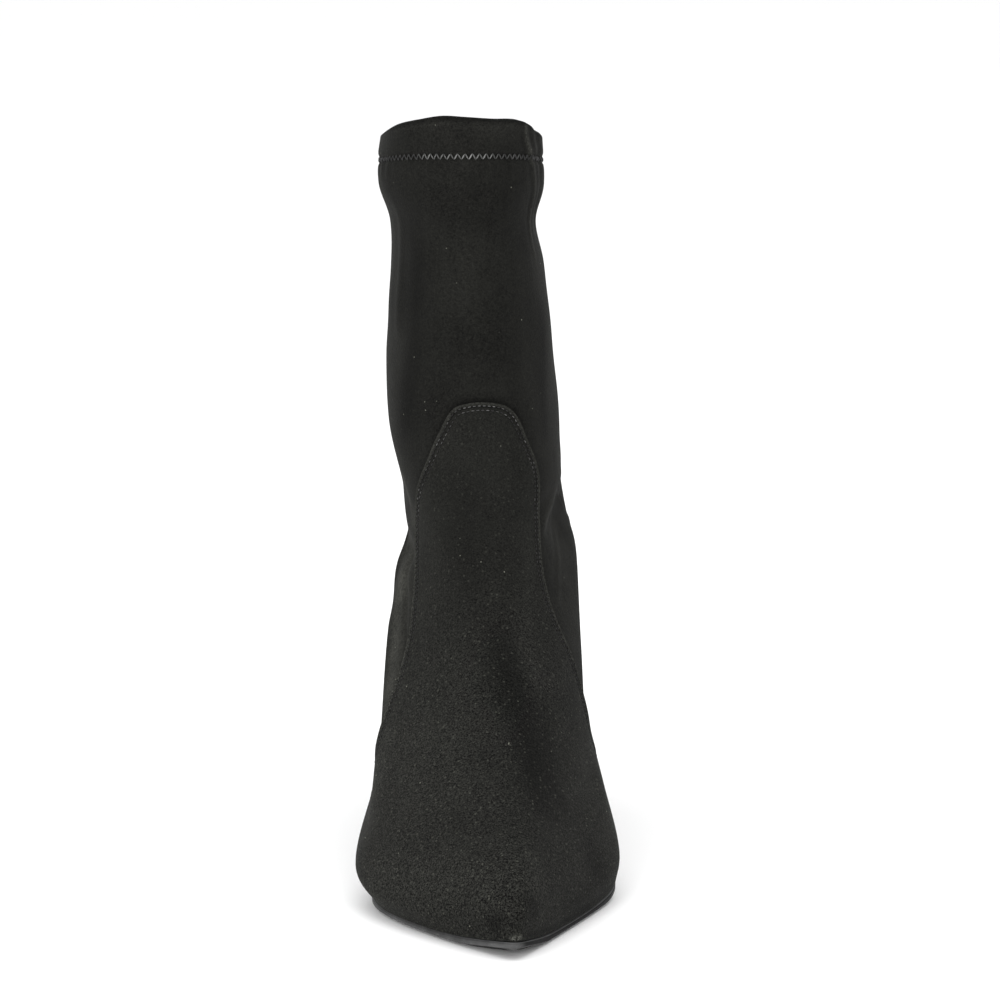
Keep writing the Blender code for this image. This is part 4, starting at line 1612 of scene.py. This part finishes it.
@dataclass
class Sole:
    """The thin outsole with its painted edge, and the insole that lies on it."""

    last: Last
    paint: SolePaint
    sock: SockLeather
    sections: int = 480
    across: int = 18
    lip_heel: float = 0.4 * MM
    lip_toe: float = 1.0 * MM
    lip_from: float = 60 * MM
    lip_to: float = 125 * MM
    drop: float = 3.8 * MM
    tip_drop: float = 3.1 * MM
    tip_from: float = 205 * MM
    tip_to: float = 236 * MM
    edge_lift: float = 0.8 * MM
    edge_reach: float = 0.1
    pole: float = 1e-4
    # painted highlights on the rand and the foot of the medial edge, a painted reflection down the lateral
    # edge, and a painted glint at the tip
    rand_pale: float = 8.0
    rand_depth: Span = (0.32, 0.22)
    foot_pale: float = 16.0
    foot_depth: Span = (0.86, 0.92)
    lateral_pale: float = 5.0
    lateral_rise: float = 10.0
    glint: float = 12.0
    glint_from: float = 233.5 * MM
    glint_to: float = 237.5 * MM
    rib_pitch: float = 4.2 * MM
    rib_depth: float = 0.35 * MM
    rib_slant: float = 0.45
    rib_cut: Span = (0.55, 0.9)
    rib_from: float = 142 * MM
    rib_to: float = 226 * MM
    rib_fade: float = 8 * MM
    rib_sides: tuple[Span, Span] = ((0.10, 0.2), (0.90, 0.8))
    insole_inset: float = 2.75 * MM
    insole_thick: float = 1.6 * MM
    insole_crown: float = 0.3 * MM
    insole_least: float = 3.0 * MM
    weld_reach: float = 0.004 * MM

    def edges(self, turns: Array, lip: Array | float) -> list[tuple[Array, Array]]:
        """Lateral and medial edge of the sole at each turn, and the level direction out of each.

        Args:
            turns: angles of the lateral edge, from the heel to the toe.
            lip: how far the edge stands out of the upper.

        Returns:
            The places and the directions of the two edges.
        """
        found = []
        for way in (turns, 2 * math.pi - turns):
            flat = unit(self.last.outward(np.zeros_like(way), way) * (1, 1, 0))
            edge = self.last.skin(np.zeros_like(way), way)
            found.append((edge + np.asarray(lip)[..., None] * flat, flat))
        return found

    def forefoot(self, along: Array) -> Array:
        """Share of the way from the seat's close edge (0) to the forefoot's standing edge (1)."""
        return np.clip((along - self.lip_from) / (self.lip_to - self.lip_from), 0, 1)

    def lip(self, turns: Array) -> Array:
        """How far the sole stands out of the upper: hardly at the seat, more at the forefoot."""
        along = self.last.centre_along - self.last.skin(np.zeros_like(turns), turns)[:, 1]
        return self.lip_heel + (self.lip_toe - self.lip_heel) * self.forefoot(along)

    def under(self, along: Array) -> Array:
        """Underside of the sole: a flat tread at the ball, lifted at the arch and the toe, where it thins."""
        drop = self.drop + (self.tip_drop - self.drop) * ease(self.tip_from, self.tip_to, along)
        return np.maximum(self.last.edge_up(along) - drop, 0)

    def ribs(self, across: Array, along: Array, share: Array) -> Array:
        """Shallow chevron grooves in the forefoot tread, fading towards its edges.

        A cosine along the foot, slanted by the distance from the middle, is cut off by a smooth step.

        Args:
            across: places across the foot.
            along: places along it.
            share: share of the way across the sole.

        Returns:
            Depth of the grooves, in metres.
        """
        wave = np.cos(2 * math.pi * (along + self.rib_slant * np.abs(across)) / self.rib_pitch)
        start, end = self.rib_from, self.rib_to
        area = window(along, (start, start + self.rib_fade), (end, end - self.rib_fade))
        return self.rib_depth * ease(*self.rib_cut, wave) * area * window(share, *self.rib_sides)

    def loops(self, sides: list[tuple[Array, Array]], profile: Line) -> tuple[Array, Array, Array]:
        """Closed loops across the sole: over the top, down the medial edge, back under, up the lateral edge.

        Args:
            sides: the two edges with their outward directions.
            profile: inset and depth share of the edge's cut, from the top face to the underside.

        Returns:
            The flat places of every loop, the depth share of each, and the share across.
        """
        (lateral, lateral_out), (medial, medial_out) = sides
        inset, depth = np.array(profile).T
        left = lateral[:, None, :] - inset[None, :, None] * lateral_out[:, None, :]
        right = medial[:, None, :] - inset[None, :, None] * medial_out[:, None, :]
        share = np.linspace(0, 1, self.across + 2)[1:-1]
        top = left[:, :1] + (right[:, :1] - left[:, :1]) * share[None, :, None]
        base = right[:, -1:] + (left[:, -1:] - right[:, -1:]) * share[None, :, None]
        points = np.concatenate((top, right, base, left[:, ::-1]), axis=1)
        depths = np.concatenate((np.zeros_like(share), depth, np.ones_like(share), depth[::-1]))
        shares = np.concatenate((share, np.ones_like(depth), 1 - share, np.zeros_like(depth)))
        return points, depths, shares

    def outsole(self) -> bpy.types.Object:
        """The outsole: a thin rand, a fine groove and a rounded edge carried round the sole's outline.

        Its tone carries a painted reflection down the lateral edge, painted highlights on the rand and the
        foot of the medial edge, and a painted glint at the tip.

        Returns:
            The outsole's object.
        """
        turns = np.clip(np.linspace(0, math.pi, self.sections), self.pole, math.pi - self.pole)
        points, depths, shares = self.loops(self.edges(turns, self.lip(turns)), EDGE_CUT)
        along = self.last.centre_along - points[..., 1]
        top = self.last.edge_up(along) - GAP
        under = self.under(along)
        rim = ease(self.edge_reach, 0, shares) + ease(1 - self.edge_reach, 1, shares)
        under = under + self.edge_lift * self.forefoot(along) * rim
        groove = self.ribs(points[..., 0], along, shares[None, :])
        points[..., 2] = top + (under - top) * depths + groove * (depths >= 1)
        faces = capped(*points.shape[:2])
        # painted reflection and highlights on the edge, and a painted glint at the tip
        lateral = (shares == 0) * (depths > 0) * (self.lateral_pale + self.lateral_rise * depths)
        medial = (shares == 1) * (
            self.rand_pale * ease(*self.rand_depth, depths) + self.foot_pale * ease(*self.foot_depth, depths))
        tip = ease(self.glint_from, self.glint_to, along)
        tone = 1 + (lateral + medial) * (1 - tip) + self.glint * tip
        piece = make_piece(
            "outsole_body", points[::-1], faces, self.paint.material(), "outsole", tone[::-1])
        weld(piece, self.weld_reach)
        return piece

    def insole(self) -> bpy.types.Object:
        """The sock on the insole: a thin sheet with soft edges, crowned by a half sine across.

        Returns:
            The insole's object.
        """
        turns = np.linspace(0, math.pi, self.sections // 3 + 2)[2:-2]
        points, depths, shares = self.loops(self.edges(turns, -self.insole_inset), SOCK_CUT)
        points = points[np.ptp(points[:, :, 0], axis=1) > self.insole_least]
        along = self.last.centre_along - points[..., 1]
        base = self.last.edge_up(along)
        crown = self.insole_crown * np.sin(math.pi * shares)[None, :] * (depths == 0)
        points[..., 2] = base + self.insole_thick * (1 - depths) + crown
        faces = capped(*points.shape[:2])
        return make_piece("insole_sheet", points[::-1], faces, self.sock.material(), "insole")


# Outlines of the heel: share of the way down from the seat, back, breast and half width
HEEL_ROWS = (
    (0.00, .0032, .0600, .0232), (0.14, .0046, .0545, .0222), (0.35, .0072, .0470, .0192),
    (0.65, .0098, .0425, .0164), (1.00, .0108, .0408, .0150),
)
# Cut of the top piece's edge, from the floor up: inset and height
TIP_CUT = (
    (0.7 * MM, 0.0), (0.25 * MM, 0.25 * MM), (0.05 * MM, 0.6 * MM), (0.0, 1.0 * MM), (0.0, 3.0 * MM),
    (0.0, 4.9 * MM), (0.08 * MM, 5.4 * MM), (0.3 * MM, 5.8 * MM), (0.8 * MM, 6.0 * MM),
)


@dataclass
class Heel:
    """The slim covered heel and the rubber top piece under it."""

    last: Last
    sole: Sole
    suede: Suede
    rubber: Rubber
    rows: tuple[tuple[float, ...], ...] = HEEL_ROWS
    middle_x: float = 2.2 * MM
    tail: float = 0.42
    nose: float = 0.14
    power: float = 2.4
    levels: int = 90
    sides: int = 180
    tip_thick: float = 6.0 * MM
    tip_inset: float = 0.4 * MM
    seam_depth: float = 0.28 * MM
    seam_width: float = 0.5 * MM
    seam_arc: Span = (0.6, 0.95)
    crowd: float = 0.75
    rise: float = 70 * MM
    edge_high: float = 0.8 * MM
    edge_in: float = 0.2 * MM

    def outline(self, size: Array, turns: Array, inset: Array | float = 0.0) -> Array:
        """One level outline: a superellipse at the back, softly cornered at the breast.

        Args:
            size: back, breast and half width, each a column that matches the levels.
            turns: angles round the heel, 0 at the back.
            inset: how far the outline is drawn in.

        Returns:
            Places across and along the foot, stacked last.
        """
        back, breast, half = size
        share = (1 - np.cos(turns)) / 2
        tail = np.sqrt(1 - np.clip((self.tail - share) / self.tail, 0, 1) ** self.power)
        nose = np.sqrt(1 - np.clip((share - 1 + self.nose) / self.nose, 0, 1) ** self.power)
        across = self.middle_x + np.where(np.sin(turns) >= 0, -1, 1) * (half - inset) * tail * nose
        along = back + inset + (breast - back - 2 * inset) * share
        return np.stack((across - self.last.centre_x, along), axis=-1)

    def turns(self) -> Array:
        """Angles round the heel, close together at the back where the seam is."""
        even = (np.arange(self.sides) + 0.5) * 2 * math.pi / self.sides
        return even - self.crowd * np.sin(even)

    def block(self) -> bpy.types.Object:
        """The covered block: outlines from the top piece up to the seat, with the cover's seam behind.

        The lower edge is drawn in by a quarter round.

        Returns:
            The heel's object.
        """
        fall = np.linspace(1, 0, self.levels)
        table = np.array(self.rows)
        size = cubic(fall, table[:, 0], table[:, 1:]).T[:, :, None]
        turns = self.turns()[None, :]
        above = np.clip((1 - fall) * self.rise / self.edge_high, 0, 1)
        inset = self.edge_in * (1 - np.sqrt(1 - (1 - above) ** 2))[:, None]
        flat = self.outline(size, turns, inset)
        rear = ease(*self.seam_arc, np.cos(turns))
        middle = self.middle_x - self.last.centre_x
        groove = self.seam_depth * rear * bell(flat[..., 0] - middle, self.seam_width)
        along = flat[..., 1] + groove
        seat = self.sole.under(along) - GAP
        floor = self.tip_thick + GAP
        up = seat + (floor - seat) * fall[:, None]
        points = np.stack((flat[..., 0], self.last.centre_along - along, up), axis=-1)
        faces = capped(*points.shape[:2])
        return make_piece("heel_block", points, faces, self.suede.material(), "heel")

    def top_piece(self) -> bpy.types.Object:
        """The rubber top piece: an upright edge with a chamfer at the floor and a soft upper corner.

        Returns:
            The top piece's object.
        """
        size = np.array(self.rows[-1][1:])[:, None, None]
        cut = np.array(TIP_CUT)
        flat = self.outline(size, self.turns()[None, :], self.tip_inset + cut[:, :1])
        up = np.broadcast_to(cut[:, 1:], flat.shape[:2])
        points = np.stack((flat[..., 0], self.last.centre_along - flat[..., 1], up), axis=-1)
        faces = capped(*points.shape[:2])
        return make_piece("heel_top_piece", points, faces, self.rubber.material(), "heel_tip")


# Studio


@dataclass(frozen=True)
class Softbox:
    """One large soft light, aimed at the boot."""

    name: str
    place: Triple
    aim: Triple
    size: Span
    power: float

    def build(self) -> None:
        """Hang the light."""
        light = bpy.data.lights.new(self.name, "AREA")
        light.shape = "RECTANGLE"
        light.size, light.size_y = self.size
        light.energy = self.power
        item = add_object(self.name, light)
        item.location = self.place
        item.rotation_euler = (Vector(self.aim) - Vector(self.place)).to_track_quat("-Z", "Y").to_euler()


@dataclass
class Studio:
    """The pale floor, the soft lights and the camera."""

    floor: FloorPaper
    floor_reach: float = 9.0
    floor_cells: int = 12
    sky: float = 1.04
    lens: float = 174.9
    sensor: float = 36.0
    aim: Triple = (0.00413, -0.04666, 0.1292)
    distance: float = 1.5
    swing: float = -2.0
    camera_up: float = 0.400
    camera_far: float = 50.0
    lights: tuple[Softbox, ...] = (
        Softbox("key", (-1.0, -1.5, 0.35), (0, 0, 0.10), (1.0, 0.7), 16.0),
        Softbox("overhead", (0, -0.1, 1.7), (0, 0, 0.0), (1.5, 1.5), 13.0),
        Softbox("fill", (1.5, -0.2, 0.5), (0, 0, 0.12), (1.0, 1.2), 0.8),
    )

    def build(self) -> None:
        """Lay the floor, light the sky and the boxes, and set the camera."""
        self.lay_floor()
        world = bpy.data.worlds.new("studio")
        world.use_nodes = True
        sky = world.node_tree.nodes["Background"]
        sky.inputs["Color"].default_value = (1.0, 1.0, 1.0, 1.0)
        sky.inputs["Strength"].default_value = self.sky
        bpy.context.scene.world = world
        for light in self.lights:
            light.build()
        self.set_camera()
        bpy.context.scene.view_settings.view_transform = "Standard"

    def lay_floor(self) -> None:
        """A level sheet of square cells."""
        side = np.linspace(-self.floor_reach, self.floor_reach, self.floor_cells)
        across, along = np.meshgrid(side, side)
        points = np.stack((across, along, np.zeros_like(across)), axis=-1)
        mesh = bpy.data.meshes.new("floor")
        mesh.from_pydata(points.reshape(-1, 3).tolist(), [], quads(*across.shape).tolist())
        mesh.materials.append(self.floor.material())
        item = add_object("floor", mesh)

    def set_camera(self) -> None:
        """A long lens in front of the toe, higher than the collar and tipped down at the boot."""
        lens = bpy.data.cameras.new("camera")
        lens.lens = self.lens
        lens.sensor_width = self.sensor
        lens.clip_end = self.camera_far
        item = add_object("camera", lens)
        aim = Vector(self.aim)
        swing = math.radians(self.swing)
        level = Vector((math.sin(swing), -math.cos(swing), 0)) * self.distance
        item.location = (aim.x + level.x, aim.y + level.y, self.camera_up)
        item.rotation_euler = (aim - item.location).to_track_quat("-Z", "Y").to_euler()
        bpy.context.scene.camera = item


def main() -> None:
    """Build the boot's pieces in a maker's order, then the studio round it."""
    logging.basicConfig(level=logging.INFO, format="%(name)s: %(message)s")
    last = Last()
    drape = Drape(last)
    shaft_suede = Suede(
        "stretch_suede", (0.0082, 0.0082, 0.0072), nap_size=0.9 * MM, nap=1.7, patch=1.05, streak=0.35,
        glint=0.013, lint=0.55, sheen=0.019)
    vamp_suede = Suede(
        "vamp_suede", (0.0105, 0.0106, 0.0093), nap_size=0.65 * MM, nap=5.0, patch=0.70, streak=0.10,
        glint=0.100, lint=0.65, sheen=0.034, flat=0.40)
    heel_suede = Suede(
        "heel_suede", (0.0095, 0.0095, 0.0086), nap_size=0.9 * MM, nap=1.9, patch=0.60, streak=0.15,
        glint=0.013, lint=0.35, sheen=0.024)
    knit = Knit("knit_back", (0.016, 0.016, 0.017), course=0.9 * MM, wale=0.8 * MM)
    hem_thread = Thread("hem_thread", (0.21, 0.21, 0.205))
    top_thread = Thread("top_thread", (0.125, 0.125, 0.122))
    edge_paint = SolePaint("edge_paint", (0.005, 0.005, 0.005))
    sock_leather = SockLeather("sock_leather", (0.030, 0.028, 0.026))

    upper = Upper(last, drape, shaft_suede, knit, hem_thread)
    upper.shell()
    upper.lining()
    upper.hem_stitch()
    vamp = Vamp(last, drape, vamp_suede, top_thread)
    vamp.sheet()
    vamp.topstitch()
    sole = Sole(last, edge_paint, sock_leather)
    sole.outsole()
    sole.insole()
    heel = Heel(last, sole, heel_suede, Rubber("heel_rubber", (0.012, 0.012, 0.012)))
    heel.block()
    heel.top_piece()
    Studio(FloorPaper("floor_paper", (0.95, 0.95, 0.95))).build()


if __name__ == "__main__":
    main()
